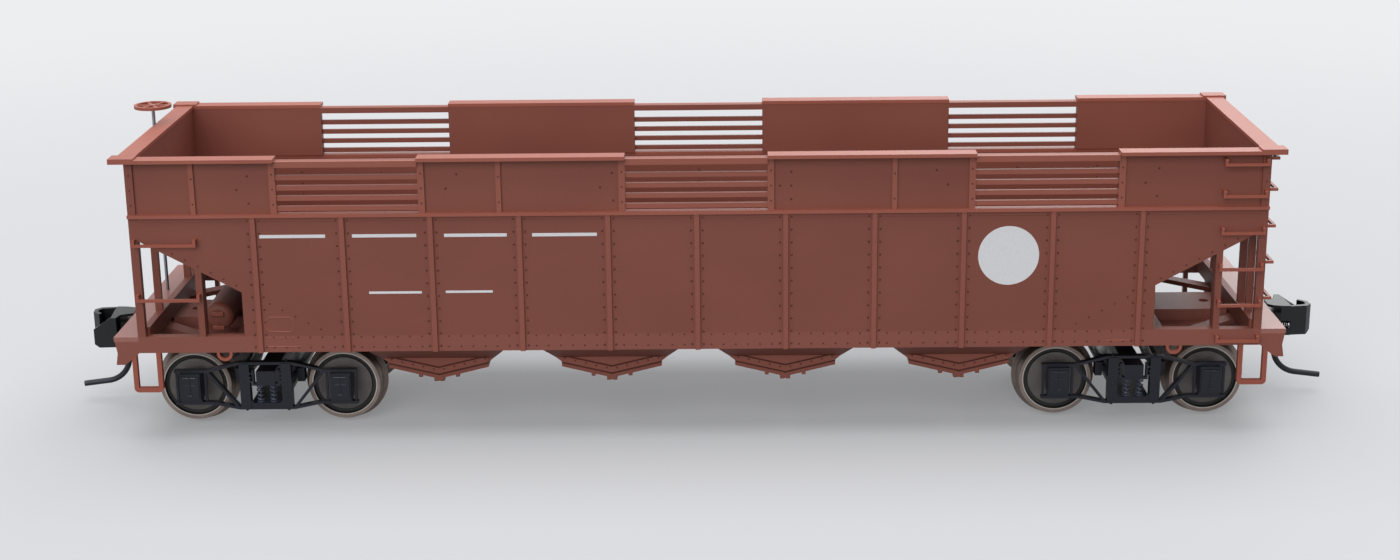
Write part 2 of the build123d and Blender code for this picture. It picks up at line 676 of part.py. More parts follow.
def second_post(x):
    """The post between the side sill and the slope on the near side."""
    x0 = x - SECOND_POST_WIDTH / 2
    x1 = x + SECOND_POST_WIDTH / 2
    outline = [(x0, SILL_TOP), (x0, slope_z(abs(x0))), (x1, slope_z(abs(x1))), (x1, SILL_TOP)]
    return along_y(outline, -SIDE_HALF, -SIDE_HALF + SECOND_POST_DEPTH)


def braces():
    """Flat diagonal braces from under the low cross wall to the side sills of the +X end."""
    plan = [(END_WALL_OUT, -BRACE_FOOT_Y), (BRACE_END_X, -SHEET_IN), (BRACE_END_X + BRACE_END, -SHEET_IN)]
    plan.append((END_WALL_OUT, -BRACE_FOOT_Y - BRACE_FOOT))
    brace = along_z(plan, CENTRE_TOP - THIN, CENTRE_TOP)
    plate_end = TRUCK_X + BOLSTER_PLATE_HALF
    brace -= near(plate_end - BRACE_END, plate_end, CENTRE_HALF, SIDE_HALF, SILL_BOTTOM, SILL_TOP)
    return Compound([brace, mirrored(brace)])


# ---- steps, grab irons and rings ----------------------------------------------------------
RUNG_PITCH = 4.65
LOW_SIDE_RUNG = SILL_BOTTOM + 0.75
LOW_END_RUNG = SILL_TOP + 3.9
SIDE_RUNGS = [  # height, outer face that carries the rung
    (RIM_BOTTOM - 1.25, RACK_HALF),
    (BELT_TOP + 0.21 * RACK_HEIGHT, RACK_HALF),
]
SIDE_RUNGS += [(LOW_SIDE_RUNG + k * RUNG_PITCH, SIDE_HALF) for k in range(4)]
END_RUNGS = [RIM_BOTTOM - 0.75]
END_RUNGS += [LOW_END_RUNG + k * RUNG_PITCH for k in range(4)]
OTHER_GRABS = [BELT_TOP - 3.8, SILL_TOP + 5.0]
GRAB_FOOT = 0.4  # feet of the grab irons, inside the corner post's outer face


def side_grab(x0, x1, z, left_face, right_face):
    """A bent bar on the near side, hung below a foot on the face at each end."""
    rail = near(x0, x1, GRAB_OUT - BAR, GRAB_OUT, z - BAR / 2, z + BAR / 2)
    high = z + GRAB_DROP
    for foot, face in ((x0, left_face), (x1 - BAR, right_face)):
        rail += near(foot, foot + BAR, GRAB_OUT - BAR, GRAB_OUT, z, high + BAR / 2)
        rail += near(foot, foot + BAR, face, GRAB_OUT, high - BAR / 2, high + BAR / 2)
    return rail


def ladder_side():
    x0 = SECOND_POST_NEAR_LADDER - BAR / 2
    x1 = CORNER_HALF - GRAB_FOOT
    return Compound([side_grab(x0, x1, z, face, SIDE_HALF) for z, face in SIDE_RUNGS])


def other_grabs():
    x0 = -CORNER_HALF + GRAB_FOOT
    x1 = -SECOND_POST_OTHER + BAR / 2
    return Compound([side_grab(x0, x1, z, SIDE_HALF, SIDE_HALF) for z in OTHER_GRABS])


def ladder_end():
    """Rungs on the +X end, between the near corner post and the inner stile."""
    out = RIM_HALF_LENGTH - GRAB_INSET
    y0 = -SIDE_HALF + GRAB_FOOT
    y1 = -LADDER_STILE_Y + BAR / 2
    rungs = []
    for z in END_RUNGS:
        low = z - BAR / 2
        high = z + BAR / 2
        rung = slab(out - BAR, out, y0, y1, low, high)
        rung += slab(CORNER_HALF, out, y0, y0 + BAR, low, high)
        rung += slab(CORNER_IN + WALL, out, y1 - BAR, y1, low, high)
        rungs.append(rung)
    return Compound(rungs)


def step():
    """The stirrup under the near +X corner."""
    ends = (STEP_X - STEP_HALF, STEP_X + STEP_HALF)
    loop = near(*ends, SIDE_HALF - STEP_DEPTH, SIDE_HALF, STEP_BOTTOM, SILL_BOTTOM)
    corners = loop.edges().filter_by(Axis.Y).group_by(Axis.Z)[0]
    loop = fillet(corners, STEP_CORNER)
    half = STEP_HALF - STEP_BAR
    low = STEP_BOTTOM + STEP_BAR
    loop -= near(STEP_X - half, STEP_X + half, 0, SIDE_HALF + 1, low, SILL_BOTTOM + 1)
    return loop - end_sill()


def steps():
    return Compound([step(), mirror(step(), about=Plane.YZ)])


def tow_rings():
    """Half rings under the near side sill."""
    pieces = []
    z = SILL_BOTTOM - RING_DROP
    for x in (-RING_X, RING_X):
        ring = crosswise(x, z, RING_R, -SIDE_HALF, -SIDE_HALF + STEP_DEPTH)
        ring -= crosswise(x, z, RING_R - RING_BAR, -SIDE_HALF - 1, -SIDE_HALF + 2)
        ring -= near(x - 2 * RING_R, x + 2 * RING_R, SHEET_IN - 1, SIDE_HALF + 1, SILL_BOTTOM, SILL_TOP)
        pieces.append(ring)
    return Compound(pieces)


# ---- brake gear ---------------------------------------------------------------------------
def brake_staff():
    return upright(STAFF_X, STAFF_Y, STAFF_R, SILL_TOP, BRAKE_WHEEL_Z + BRAKE_RING / 2)


def brake_wheel():
    """A ring on spokes and a hub, bored for the staff."""
    low = BRAKE_WHEEL_Z - BRAKE_RING / 2
    high = BRAKE_WHEEL_Z + BRAKE_RING / 2
    wheel = upright(STAFF_X, STAFF_Y, BRAKE_WHEEL_R, low, high)
    wheel -= upright(STAFF_X, STAFF_Y, BRAKE_WHEEL_R - BRAKE_RING, low, high)
    for k in range(BRAKE_SPOKES):
        spoke = Box(2 * BRAKE_WHEEL_R - BRAKE_RING, BRAKE_RING, 0.7 * BRAKE_RING)
        wheel += Pos(STAFF_X, STAFF_Y, BRAKE_WHEEL_Z) * Rot(0, 0, 180 * k / BRAKE_SPOKES) * spoke
    wheel += upright(STAFF_X, STAFF_Y, 2.2 * STAFF_R, low, high)
    return wheel - upright(STAFF_X, STAFF_Y, STAFF_R, low, high)


def brake_cylinder():
    """The domed air tank by the near bolster, on a foot on the centre sill, with two lugs."""
    z = CENTRE_TOP + TANK_R + TANK_LIFT
    barrel = crosswise(TANK_X, z, TANK_R, -TANK_NEAR, -TANK_FAR)
    barrel = fillet(barrel.edges().sort_by(Axis.Y)[0], TANK_DOME)
    half = TANK_R / 2
    foot = slab(TANK_X - half, TANK_X + half, THIN - CENTRE_HALF, -TANK_FAR, CENTRE_TOP, z)
    tank = barrel + foot
    for lift in (0.3 * TANK_R, -0.55 * TANK_R):
        tank += crosswise(TANK_X, z + lift, TANK_LUG_R, -TANK_NEAR - TANK_LUG_R, -TANK_NEAR + TANK_DOME)
    return tank


# ---- trucks -------------------------------------------------------------------------------
def column(cx, side):
    """One column of a side frame, with its wear strips."""
    inner = FRAME_HALF - COLUMN_DEPTH / 2
    outer = FRAME_HALF + COLUMN_DEPTH / 2
    x0 = cx + side * COLUMN_IN
    pieces = [near(x0, cx + side * COLUMN_OUT, inner, outer, AXLE_Z + TIE_CROWN, AXLE_Z + ARCH_CROWN)]
    for z in TEETH:
        pieces.append(near(x0, x0 - side * TOOTH, inner, outer, AXLE_Z + z - TOOTH_HEIGHT, AXLE_Z + z))
    return pieces


def journal_box(x):
    """The box on one journal, its lid and the two bolts that hold it between the bars."""
    low = AXLE_Z + BOX_BOTTOM
    pieces = [near(x - BOX_HALF, x + BOX_HALF, BOX_INNER, BOX_OUTER, low, BOX_TOP)]
    lid = BOX_HALF - LID_INSET
    face = BOX_OUTER + LID_THICKNESS
    ridge = LID_RIDGE / 2
    lift = 2 * LID_INSET
    pieces.append(near(x - lid, x + lid, BOX_OUTER, face, low + lift, BOX_TOP - lift))
    pieces.append(near(x - ridge, x + ridge, face, face + ridge, low + 2 * lift, BOX_TOP - lift))
    for dx in (-BOX_BOLT_X, BOX_BOLT_X):
        ends = (x + dx - BOX_BOLT / 2, x + dx + BOX_BOLT / 2)
        sides = (FRAME_HALF - BOX_BOLT / 2, FRAME_HALF + BOX_BOLT / 2)
        pieces.append(near(*ends, *sides, AXLE_Z + TIE_SEAT, BOX_TOP))
    saddle = (FRAME_HALF - BAR_DEPTH / 2, FRAME_HALF + BAR_DEPTH / 2)
    pieces.append(near(x - BOX_HALF, x + BOX_HALF, *saddle, AXLE_Z + TIE_SEAT, low))
    return pieces


def arch_frame(cx):
    """The near side frame of the truck at cx, with its journal boxes and axle bores."""
    y = -FRAME_HALF
    shoulder = AXLE_X - BOX_SHOULDER
    reach = AXLE_X + BOX_SHOULDER
    arch = [(ARCH_BEND, ARCH_CROWN), (shoulder, ARCH_SEAT), (reach, ARCH_SEAT)]
    tie = [(TIE_BEND, TIE_CROWN), (shoulder - TIE_SLACK, TIE_SEAT), (reach, TIE_SEAT)]
    strut = [(TIE_BEND, TIE_CROWN), (shoulder, ARCH_SEAT)]
    pieces = []
    for reach, z in (arch[0], tie[0]):
        pieces.append(bar((cx - reach, y, AXLE_Z + z), (cx + reach, y, AXLE_Z + z), BAR_DEPTH, BAR_THICKNESS))
    for side in (-1, 1):
        for run in (arch, tie, strut):
            for (xa, za), (xb, zb) in zip(run, run[1:]):
                a = (cx + side * xa, y, AXLE_Z + za)
                b = (cx + side * xb, y, AXLE_Z + zb)
                pieces.append(bar(a, b, BAR_DEPTH, BAR_THICKNESS))
        pieces += column(cx, side)
        pieces += journal_box(cx + side * AXLE_X)
    frame = joined(pieces)
    for side in (-1, 1):
        bore = JOURNAL_R + JOURNAL_CLEARANCE
        frame -= crosswise(cx + side * AXLE_X, AXLE_Z, bore, -AXLE_HALF - JOURNAL_CLEARANCE, -BOX_INNER)
    return frame


def truck_bolster(cx):
    """The beam across a truck, a U-shaped pocket at each end, the centre plate and the pin."""
    end = FRAME_HALF + TRUCK_END
    low = AXLE_Z + TRUCK_BOLSTER_BOTTOM
    top = AXLE_Z + TRUCK_BOLSTER_TOP
    half = TRUCK_BOLSTER_HALF
    beam = slab(cx - half, cx + half, -end, end, low, top)
    for side in (-1, 1):
        ends = (side * (end - POCKET_DEPTH), side * (end - SEAM_RISE))
        inner = POCKET_HALF - POCKET_BAR
        pocket = slab(cx - POCKET_HALF, cx + POCKET_HALF, *ends, low - POCKET_BAR, top + SEAM_RISE)
        beam += pocket - slab(cx - inner, cx + inner, *ends, low, top + 1)
    plate = CENTRE_BOTTOM - TRUCK_PLATE_GAP
    beam += upright(cx, 0, CENTRE_PLATE_R, top, plate)
    beam += upright(cx, 0, PIN_R, low, CENTRE_BOTTOM + PIN_REACH)
    return beam


def brake_beam(cx):
    """The beams on both sides of a truck bolster, with a shoe in line with every wheel."""
    low = AXLE_Z + SHOE_BOTTOM
    high = AXLE_Z + SHOE_TOP
    middle = (low + high) / 2
    half = BEAM_WIDTH / 2
    face = AXLE_X - TREAD_R - SHOE_GAP
    pieces = []
    for side in (-1, 1):
        back = cx + side * (face - SHOE_THICKNESS)
        front = back - side * BEAM_WIDTH
        pieces.append(slab(front, back, -SHOE_OUTER, SHOE_OUTER, middle - half, middle + half))
        for end in (-1, 1):
            shoe = (end * SHOE_INNER, end * SHOE_OUTER)
            pieces.append(slab(back, cx + side * face, *shoe, low, high))
            link = (end * (BEAM_LINK_Y - half), end * (BEAM_LINK_Y + half))
            pieces.append(slab(cx + side * TRUCK_BOLSTER_HALF, front, *link, middle - half, middle + half))
    return group([joined(pieces[:5]), joined(pieces[5:])])


def truck_plank(cx):
    """The spring plank between the columns, with lips outside the springs."""
    end = FRAME_HALF + TRUCK_END
    plank = slab(cx - COLUMN_IN, cx + COLUMN_IN, -end, end, PLANK_BOTTOM, PLANK_TOP)
    for side in (-1, 1):
        ends = (cx + side * COLUMN_IN, cx + side * (COLUMN_IN - PLANK_LIP))
        for sign in (-1, 1):
            plank += slab(*ends, sign * (end - PLANK_LIP), sign * end, PLANK_TOP, PLANK_TOP + PLANK_LIP)
    return plank


def springs(cx):
    top = AXLE_Z + TRUCK_BOLSTER_BOTTOM - POCKET_BAR
    pieces = []
    for y in (-FRAME_HALF, FRAME_HALF):
        for dx in (-SPRING_X, SPRING_X):
            pieces.append(upright(cx + dx, y, SPRING_R, PLANK_TOP, top))
    return Compound(pieces)


def wheel_profile():
    """The (distance from the axle, distance from the centreline) outline of a wheel."""
    back = WHEEL_BACK
    face = WHEEL_FACE
    ring = TREAD_R - WHEEL_RIM
    hub = WHEEL_HUB_R
    dish = 0.9
    return [
        (AXLE_R, back + 0.1),
        (hub + 0.4, back + 0.1),
        (hub + 0.7, back + dish),
        (ring - 0.4, back + dish),
        (ring - 0.1, back),
        (FLANGE_R - 0.15, back),
        (FLANGE_R, back + 0.2),
        (FLANGE_R, back + 0.4),
        (TREAD_R + 0.1, back + 0.85),
        (TREAD_R - 0.02, face - 0.15),
        (TREAD_R - 0.12, face),
        (ring, face),
        (ring - 0.05, face - 0.6),
        (ring - WHEEL_GROOVE, face - 0.6),
        (ring - WHEEL_GROOVE - 0.05, face - 0.3),
        (hub, face - 0.15),
        (AXLE_R, face - 0.15),
    ]


def wheels(x):
    points = [(x + r, -y, AXLE_Z) for r, y in wheel_profile()]
    face = make_face(Polyline(*points, close=True))
    wheel = revolve(face, axis=Axis((x, 0, AXLE_Z), (0, 1, 0)), revolution_arc=360)
    return Compound([wheel, mirrored(wheel)])


def axle(x):
    body = crosswise(x, AXLE_Z, AXLE_R, -WHEEL_FACE + 0.15, WHEEL_FACE - 0.15)
    return body + crosswise(x, AXLE_Z, JOURNAL_R, -AXLE_HALF, AXLE_HALF)


# ---- couplers -----------------------------------------------------------------------------
def coupler():
    """Shank, head and guard arm of the +X coupler, with the bore for its swing pin."""
    z0 = COUPLER_Z - SHANK_HEIGHT / 2
    z1 = COUPLER_Z + SHANK_HEIGHT / 2
    x = COUPLER_X
    shank = upright(x, 0, SHANK_EYE_R, z0, z1)
    shank += slab(x, x + HEAD_THROAT, -SHANK_HALF, SHANK_HALF, z0, z1)
    shank -= upright(x, 0, COUPLER_PIN_R + COUPLER_CLEARANCE, z0, z1)
    back = x + HEAD_BACK
    throat = x + HEAD_THROAT
    joint = x + KNUCKLE_JOINT
    plan = [(throat, -1.9), (joint, -2.0), (joint, -0.3)]
    plan += [(joint - 0.4, 3.0), (joint - 1.1, 3.4), (throat, 2.0)]
    head = along_z(plan, HEAD_LOW, HEAD_TOP)
    lug = [(back, -1.0), (back + 0.6, -1.6), (throat, -1.9), (throat, 2.0), (back, 1.2)]
    head += along_z(lug, HEAD_LOW, z1)
    for top in (HEAD_TOP, HEAD_TOP - LUG_THICKNESS - LUG_GAP):
        head += along_z(lug, top - LUG_THICKNESS, top)
    root = joint - 1.1
    tip = joint + 1.9
    plan = [(root, 2.4), (joint - 0.4, 2.4), (tip, 3.0), (tip, 3.6), (root, 3.4)]
    side = [(root, HEAD_TOP), (joint - 0.4, HEAD_TOP), (tip, COUPLER_Z + 0.5)]
    side += [(tip, HEAD_LOW + 0.5), (tip - 0.6, HEAD_LOW), (root, HEAD_LOW)]
    arm = along_z(plan, HEAD_LOW, HEAD_TOP) & along_y(side, 0, 2 * BOX_Y)
    slot_top = COUPLER_Z - SPRING_SLOT_DROP + SPRING_SLOT / 2
    slot = slab(throat - 0.7, joint, -2 * SHANK_HALF, -1.3, slot_top - SPRING_SLOT, slot_top)
    return shank + head + arm - slot


def knuckle():
    """The near jaw of the +X coupler, a thin hook round the coupling space."""
    x = COUPLER_X + KNUCKLE_JOINT
    outer = [(x, -2.0), (x + 2.1, -1.75), (x + 2.8, -0.95), (x + 2.65, 0.4), (x + 1.7, 1.3)]
    inner = [(x + 1.4, 0.95), (x + 2.1, 0.2), (x + 2.2, -0.6), (x + 1.8, -1.15), (x, -1.45)]
    low = HEAD_LOW + KNUCKLE_SLACK
    high = HEAD_TOP - KNUCKLE_SLACK
    jaw = along_z(outer + inner, low, high)
    side = [(x, low), (x + 2.3, low), (x + 2.8, low + 0.5), (x + 2.8, high), (x, high)]
    return jaw & along_y(side, -BOX_Y, BOX_Y)


def trip_pin():
    """The curved wire under the head."""
    x = COUPLER_X + TRIP_X
    path = FilletPolyline(
        (x, 0, HEAD_LOW), (x, 0, TRIP_LOW), (COUPLER_X + TRIP_REACH, 0, TRIP_TIP), radius=TRIP_BEND
    )
    profile = Plane((x, 0, HEAD_LOW), z_dir=(0, 0, -1)) * Circle(TRIP_R)
    return sweep(profile, path=path)


# ---- nodes --------------------------------------------------------------------------------
os.makedirs("parts", exist_ok=True)

save_pair("side_sheet", side_sheet())
save_both("side_sills", side_sill())
save_both("side_posts", side_posts())
save_both("belts", belt())
save_pair("rack_side", rack_side())
save_both("corner_posts", corner_posts())
save("rim", group([rim_end(), turned(rim_end()), rim_middle()]))
save_both("end_walls", end_wall())
save_pair("slope_sheet", slope_sheet())
save("ridges", ridges())
save("hood", hood())
save("chutes", group([chute(x) for x in POCKETS]))
save("doors", group([doors(x) for x in POCKETS]))
save("centre_sill", centre_sill())
save_both("bolsters", bolster())
save_both("sill_covers", sill_cover())
save_both("decks", deck())
save_both("end_sills", end_sill())
save_both("coupler_boxes", coupler_box())
save_both("end_frames", end_frame())
save_both("second_posts", group([second_post(SECOND_POST_NEAR_LADDER), second_post(-SECOND_POST_OTHER)]))
save_both("braces", braces())
save_both("grab_irons", group([ladder_side(), other_grabs(), ladder_end()]))
save_both("steps", steps())
save_both("tow_rings", tow_rings())
save("brake_staff", brake_staff())
save("brake_wheel", brake_wheel())
save("brake_cylinder", brake_cylinder())
for number, sign in ((1, -1), (2, 1)):
    cx = sign * TRUCK_X
    save(f"arch_frames_{number}", group([arch_frame(cx), mirrored(arch_frame(cx))]))
    save(f"truck_bolster_{number}", truck_bolster(cx))
    save(f"truck_plank_{number}", truck_plank(cx))
    save(f"brake_beams_{number}", brake_beam(cx))
    save(f"springs_{number}", springs(cx))
for number, truck, side in WHEELSETS:
    x = truck * TRUCK_X + side * AXLE_X
    save(f"wheels_{number}", wheels(x))
    save(f"axle_{number}", axle(x))
for number, turn in ((1, 180), (2, 0)):
    save(f"coupler_{number}", Rot(0, 0, turn) * coupler())
    save(f"knuckle_{number}", Rot(0, 0, turn) * knuckle())
    save(f"trip_pin_{number}", Rot(0, 0, turn) * trip_pin())
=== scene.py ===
import math

import bmesh
import bpy
from mathutils import Matrix, Vector

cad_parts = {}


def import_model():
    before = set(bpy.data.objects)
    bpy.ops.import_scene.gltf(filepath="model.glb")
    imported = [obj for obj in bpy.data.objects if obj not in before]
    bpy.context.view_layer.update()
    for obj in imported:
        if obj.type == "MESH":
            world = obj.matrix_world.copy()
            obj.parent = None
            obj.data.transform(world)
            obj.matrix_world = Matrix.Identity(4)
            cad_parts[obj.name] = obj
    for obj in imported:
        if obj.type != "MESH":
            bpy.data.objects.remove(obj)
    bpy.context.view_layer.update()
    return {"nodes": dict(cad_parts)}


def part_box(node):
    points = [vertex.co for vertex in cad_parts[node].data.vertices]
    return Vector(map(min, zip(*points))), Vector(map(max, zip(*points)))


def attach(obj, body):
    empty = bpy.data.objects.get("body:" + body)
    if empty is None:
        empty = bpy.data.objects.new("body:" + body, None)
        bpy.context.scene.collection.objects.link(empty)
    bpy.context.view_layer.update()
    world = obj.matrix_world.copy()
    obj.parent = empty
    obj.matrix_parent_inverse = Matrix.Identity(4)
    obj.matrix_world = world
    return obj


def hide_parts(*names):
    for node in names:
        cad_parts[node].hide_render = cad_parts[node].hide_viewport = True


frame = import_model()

# HO scale open hopper wagon. Lengths below are millimetres, and MM turns them into metres.
MM = 0.001


# ---- places taken from the frame --------------------------------------------------------
class Span:
    """A node's box in millimetres."""

    def __init__(self, node):
        low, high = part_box(node)
        self.x0, self.y0, self.z0 = (v / MM for v in low)
        self.x1, self.y1, self.z1 = (v / MM for v in high)


SHEET = Span("side_sheet_1")
SILL = Span("side_sills")
BELT = Span("belts")
CHUTES = Span("chutes")
POSTS = Span("side_posts")
WALLS = Span("end_walls")

WALL = 0.9  # thickness of the sheets
SIDE = -SHEET.y0  # outer face of the side sheets
INSIDE = SIDE - WALL  # their inner face
RACK_FACE = 16.6  # outer face of the rack panels
POST_WIDTH = 0.62
POSTS_A_SIDE = 5  # on each side of the middle one
POCKET_HALF = 8.5
POCKET_PITCH = (CHUTES.x1 - POCKET_HALF) / 3  # half the distance between two pockets
POST_PITCH = (POSTS.x1 - POST_WIDTH / 2) / POSTS_A_SIDE
POST_XS = [POST_PITCH * k for k in range(-POSTS_A_SIDE, POSTS_A_SIDE + 1)]
POCKET_XS = [POCKET_PITCH * k for k in (-3, -1, 1, 3)]
FOOT_X = 57.1  # foot of the slope sheets: place and underside
FOOT_Z = 19.9
SLOPE = (WALLS.z0 - FOOT_Z) / (WALLS.x1 - WALL - FOOT_X)  # rise of the slope sheets along X


def slope_z(x):
    """Underside of the slope sheets."""
    return FOOT_Z + (abs(x) - FOOT_X) * SLOPE


# ---- shader writing ----------------------------------------------------------------------
def linear(code):
    """A colour written as six hex digits, in linear light."""
    parts = [int(code[i : i + 2], 16) / 255 for i in (0, 2, 4)]
    return [c / 12.92 if c <= 0.04045 else ((c + 0.055) / 1.055) ** 2.4 for c in parts] + [1.0]


class Signal:
    """A shader output that takes part in plain arithmetic."""

    def __init__(self, tree, socket):
        self.tree = tree
        self.socket = socket

    def maths(self, operation, *values):
        numbered = dict(enumerate(values))
        return self.tree.node("ShaderNodeMath", {"operation": operation}, numbered)[0]

    def __add__(self, other):
        return self.maths("ADD", self, other)

    def __radd__(self, other):
        return self.maths("ADD", other, self)

    def __sub__(self, other):
        return self.maths("SUBTRACT", self, other)

    def __rsub__(self, other):
        return self.maths("SUBTRACT", other, self)

    def __mul__(self, other):
        return self.maths("MULTIPLY", self, other)

    def __rmul__(self, other):
        return self.maths("MULTIPLY", other, self)

    def __pow__(self, other):
        return self.maths("POWER", self, other)


class Tree:
    """The nodes of a material or of the world, written as expressions."""

    def __init__(self, tree):
        self.tree = tree
        tree.nodes.clear()

    def node(self, kind, settings=None, values=None):
        """Adds a node: settings first, then its sockets' values or links. Gives its outputs."""
        made = self.tree.nodes.new(kind)
        for key, value in (settings or {}).items():
            setattr(made, key, value)
        for key, value in (values or {}).items():
            socket = made.inputs[key]
            if isinstance(value, Signal):
                self.tree.links.new(value.socket, socket)
            else:
                socket.default_value = value
        outputs = {}
        for index, output in enumerate(made.outputs):
            outputs[index] = outputs[output.name] = Signal(self, output)
        return outputs

    def place(self):
        """Object coordinates in metres."""
        return self.node("ShaderNodeTexCoord")["Object"]

    def parts(self, vector):
        made = self.node("ShaderNodeSeparateXYZ", None, {0: vector})
        return made["X"], made["Y"], made["Z"]

    def noise(self, size_mm, detail, stretch=(1, 1, 1)):
        """Fractal noise from 0 to 1 with blotches about size_mm across."""
        scale = [s / (size_mm * MM) for s in stretch]
        sockets = {"Vector": self.place(), "Scale": scale}
        place = self.node("ShaderNodeMapping", None, sockets)["Vector"]
        sockets = {"Vector": place, "Scale": 1.0, "Detail": detail}
        return self.node("ShaderNodeTexNoise", None, sockets)[0]

    def mix(self, amount, first, second):
        """A colour between two others."""
        sockets = {0: amount, 6: first, 7: second}
        return self.node("ShaderNodeMix", {"data_type": "RGBA"}, sockets)[2]

    def above(self, value, limit, soft):
        """0 below limit and 1 above it, over a width of soft."""
        ends = {"Value": value, "From Min": limit - soft / 2, "From Max": limit + soft / 2}
        return self.node("ShaderNodeMapRange", {"interpolation_type": "SMOOTHSTEP"}, ends)[0]

    def bump(self, height, strength, distance_mm):
        sockets = {"Height": height, "Strength": strength, "Distance": distance_mm * MM}
        return self.node("ShaderNodeBump", None, sockets)["Normal"]

    def either(self, *names):
        """1 where a light path is any of those named."""
        path = self.node("ShaderNodeLightPath")
        total = path[names[0]]
        for name in names[1:]:
            total = total + path[name]
        return total

    def blend(self, amount, first, second):
        return self.node("ShaderNodeMixShader", None, {0: amount, 1: first, 2: second})[0]


def material(name, sockets):
    """A material whose Principled shader has those sockets; sockets is a function of its tree."""
    made = bpy.data.materials.new(name)
    made.use_nodes = True
    tree = Tree(made.node_tree)
    skin = tree.node("ShaderNodeBsdfPrincipled", None, sockets(tree))[0]
    tree.node("ShaderNodeOutputMaterial", None, {"Surface": skin})
    return made


# ---- materials ---------------------------------------------------------------------------
def oxide_plastic(name, tone, light, gloss=0.5, sheen=0.3, raised=None):
    """Self-coloured oxide brown plastic: a fine mould grain and slow drifts of colour.

    Faces further from the centreline than raised get a painted highlight: they are made a little
    brighter.
    """

    def sockets(tree):
        drift = tree.noise(14.0, 2.0)
        flow = tree.noise(3.0, 2.0, stretch=(0.25, 1, 1))
        grain = tree.noise(0.22, 4.0)
        colour = tree.mix(drift * 1.3 - 0.15, linear(tone), linear(light))
        colour = tree.mix(flow * 0.18, colour, linear("8A4A3A"))
        colour = tree.mix(grain * 0.16, colour, linear("5C2F27"))
        if raised:
            _, y, _ = tree.parts(tree.place())
            # painted highlight: faces beyond raised turn brighter, standing in for light catching
            # them
            painted_highlight = tree.above(y.maths("ABSOLUTE", y), raised * MM, 0.05 * MM)
            colour = tree.mix(painted_highlight * 0.8, colour, linear(RAISED_HIGHLIGHT))
        return {
            "Base Color": colour,
            "Roughness": gloss - 0.08 + grain * 0.16,
            "Specular IOR Level": sheen,
            "Normal": tree.bump(grain, 0.22, 0.03),
        }

    return material(name, sockets)


def black_plastic(name, tone, light, gloss):
    """Blue-black engineering plastic with a soft sheen."""

    def sockets(tree):
        grain = tree.noise(0.3, 4.0)
        cloud = tree.noise(2.5, 2.0)
        colour = tree.mix(cloud * 1.2 - 0.1, linear(tone), linear(light))
        return {
            "Base Color": tree.mix(grain * 0.3, colour, linear("08090C")),
            "Roughness": gloss + grain * 0.2,
            "Specular IOR Level": 0.36,
            "Normal": tree.bump(grain, 0.35, 0.03),
        }

    return material(name, sockets)


PLATE_R = 3.55  # wheel plate, then the groove, then the ring
RING_R = 4.10
LIP = 0.12  # width of the bright lip on the ring's inner edge
EDGE = 0.05  # width over which one turns into the next


def turned_wheel(name, centre_x, centre_z):
    """A turned wheel: brown-grey ring, near-black groove and a dull grey plate."""

    def sockets(tree):
        x, _, z = tree.parts(tree.place())
        dx = x - centre_x * MM
        dz = z - centre_z * MM
        radius = (dx * dx + dz * dz) ** 0.5
        turning = tree.noise(0.12, 2.0, stretch=(1, 0.2, 1))
        tarnish = tree.noise(1.6, 3.0)
        plate = tree.mix(tarnish, linear("67615F"), linear("3A3738"))
        plate = tree.mix(turning * 0.3, plate, linear("8A8482"))
        ring = tree.mix(tarnish, linear("94877F"), linear("6E605A"))
        lip = tree.above(radius, (RING_R + LIP) * MM, EDGE * MM)
        ring = tree.mix(lip, linear("B9B1AA"), ring)
        groove = tree.above(radius, PLATE_R * MM, EDGE * MM)
        outer = tree.above(radius, RING_R * MM, EDGE * MM)
        colour = tree.mix(groove, plate, linear("060607"))
        return {
            "Base Color": tree.mix(outer, colour, ring),
            "Metallic": (1 - groove) * 0.75 + outer * 0.8,
            "Roughness": 0.36 + turning * 0.15 + groove * 0.15 - outer * 0.12,
            "Normal": tree.bump(turning, 0.15, 0.02),
        }

    return material(name, sockets)


def metal(name, tone, dark, roughness=0.33, metallic=0.9):
    """Drawn wire or a turned axle."""

    def sockets(tree):
        grain = tree.noise(0.2, 3.0, stretch=(1, 1, 0.3))
        return {
            "Base Color": tree.mix(grain * 0.7, linear(tone), linear(dark)),
            "Metallic": metallic,
            "Roughness": roughness + grain * 0.12,
            "Normal": tree.bump(grain, 0.15, 0.02),
        }

    return material(name, sockets)


def white_print(name):
    """Opaque pad-printed white with a faint grain."""

    def sockets(tree):
        grain = tree.noise(0.25, 3.0)
        return {
            "Base Color": tree.mix(grain * 0.6, linear("DCDDE1"), linear("C3C1C2")),
            "Roughness": 0.5 + grain * 0.1,
            "Specular IOR Level": 0.3,
            "Normal": tree.bump(grain, 0.1, 0.02),
        }

    return material(name, sockets)


# Tone of the painted highlight on raised faces.
RAISED_HIGHLIGHT = "8E5244"
OXIDE = oxide_plastic("oxide_plastic", "724035", "7C483C")
# Rack panels: the body plastic with a painted highlight on the raised strips beyond 16.65 mm.
OXIDE_RACK_HIGHLIT = oxide_plastic("oxide_plastic_rack_painted_highlight", "733F35", "7E493B", raised=16.65)
# Posts: a lighter copy of the body plastic, a painted highlight for light catching their edges.
OXIDE_POST_HIGHLIGHT = oxide_plastic("oxide_plastic_posts_painted_highlight", "7E463A", "8A5042", 0.45, 0.35)
# Belts, rim, tack board lines and tank lugs: a lighter copy of the body plastic, a painted
# highlight for their lit edges.
OXIDE_EDGE_HIGHLIGHT = oxide_plastic("oxide_plastic_edges_painted_highlight", "8C4A3B", "975444", 0.45, 0.4)
# Decks: a lighter copy of the body plastic, painted sheen for the backdrop's shine on them at a
# grazing view.
OXIDE_DECK_SHEEN = oxide_plastic("oxide_plastic_decks_painted_sheen", "845046", "905A4E", 0.4, 0.8)
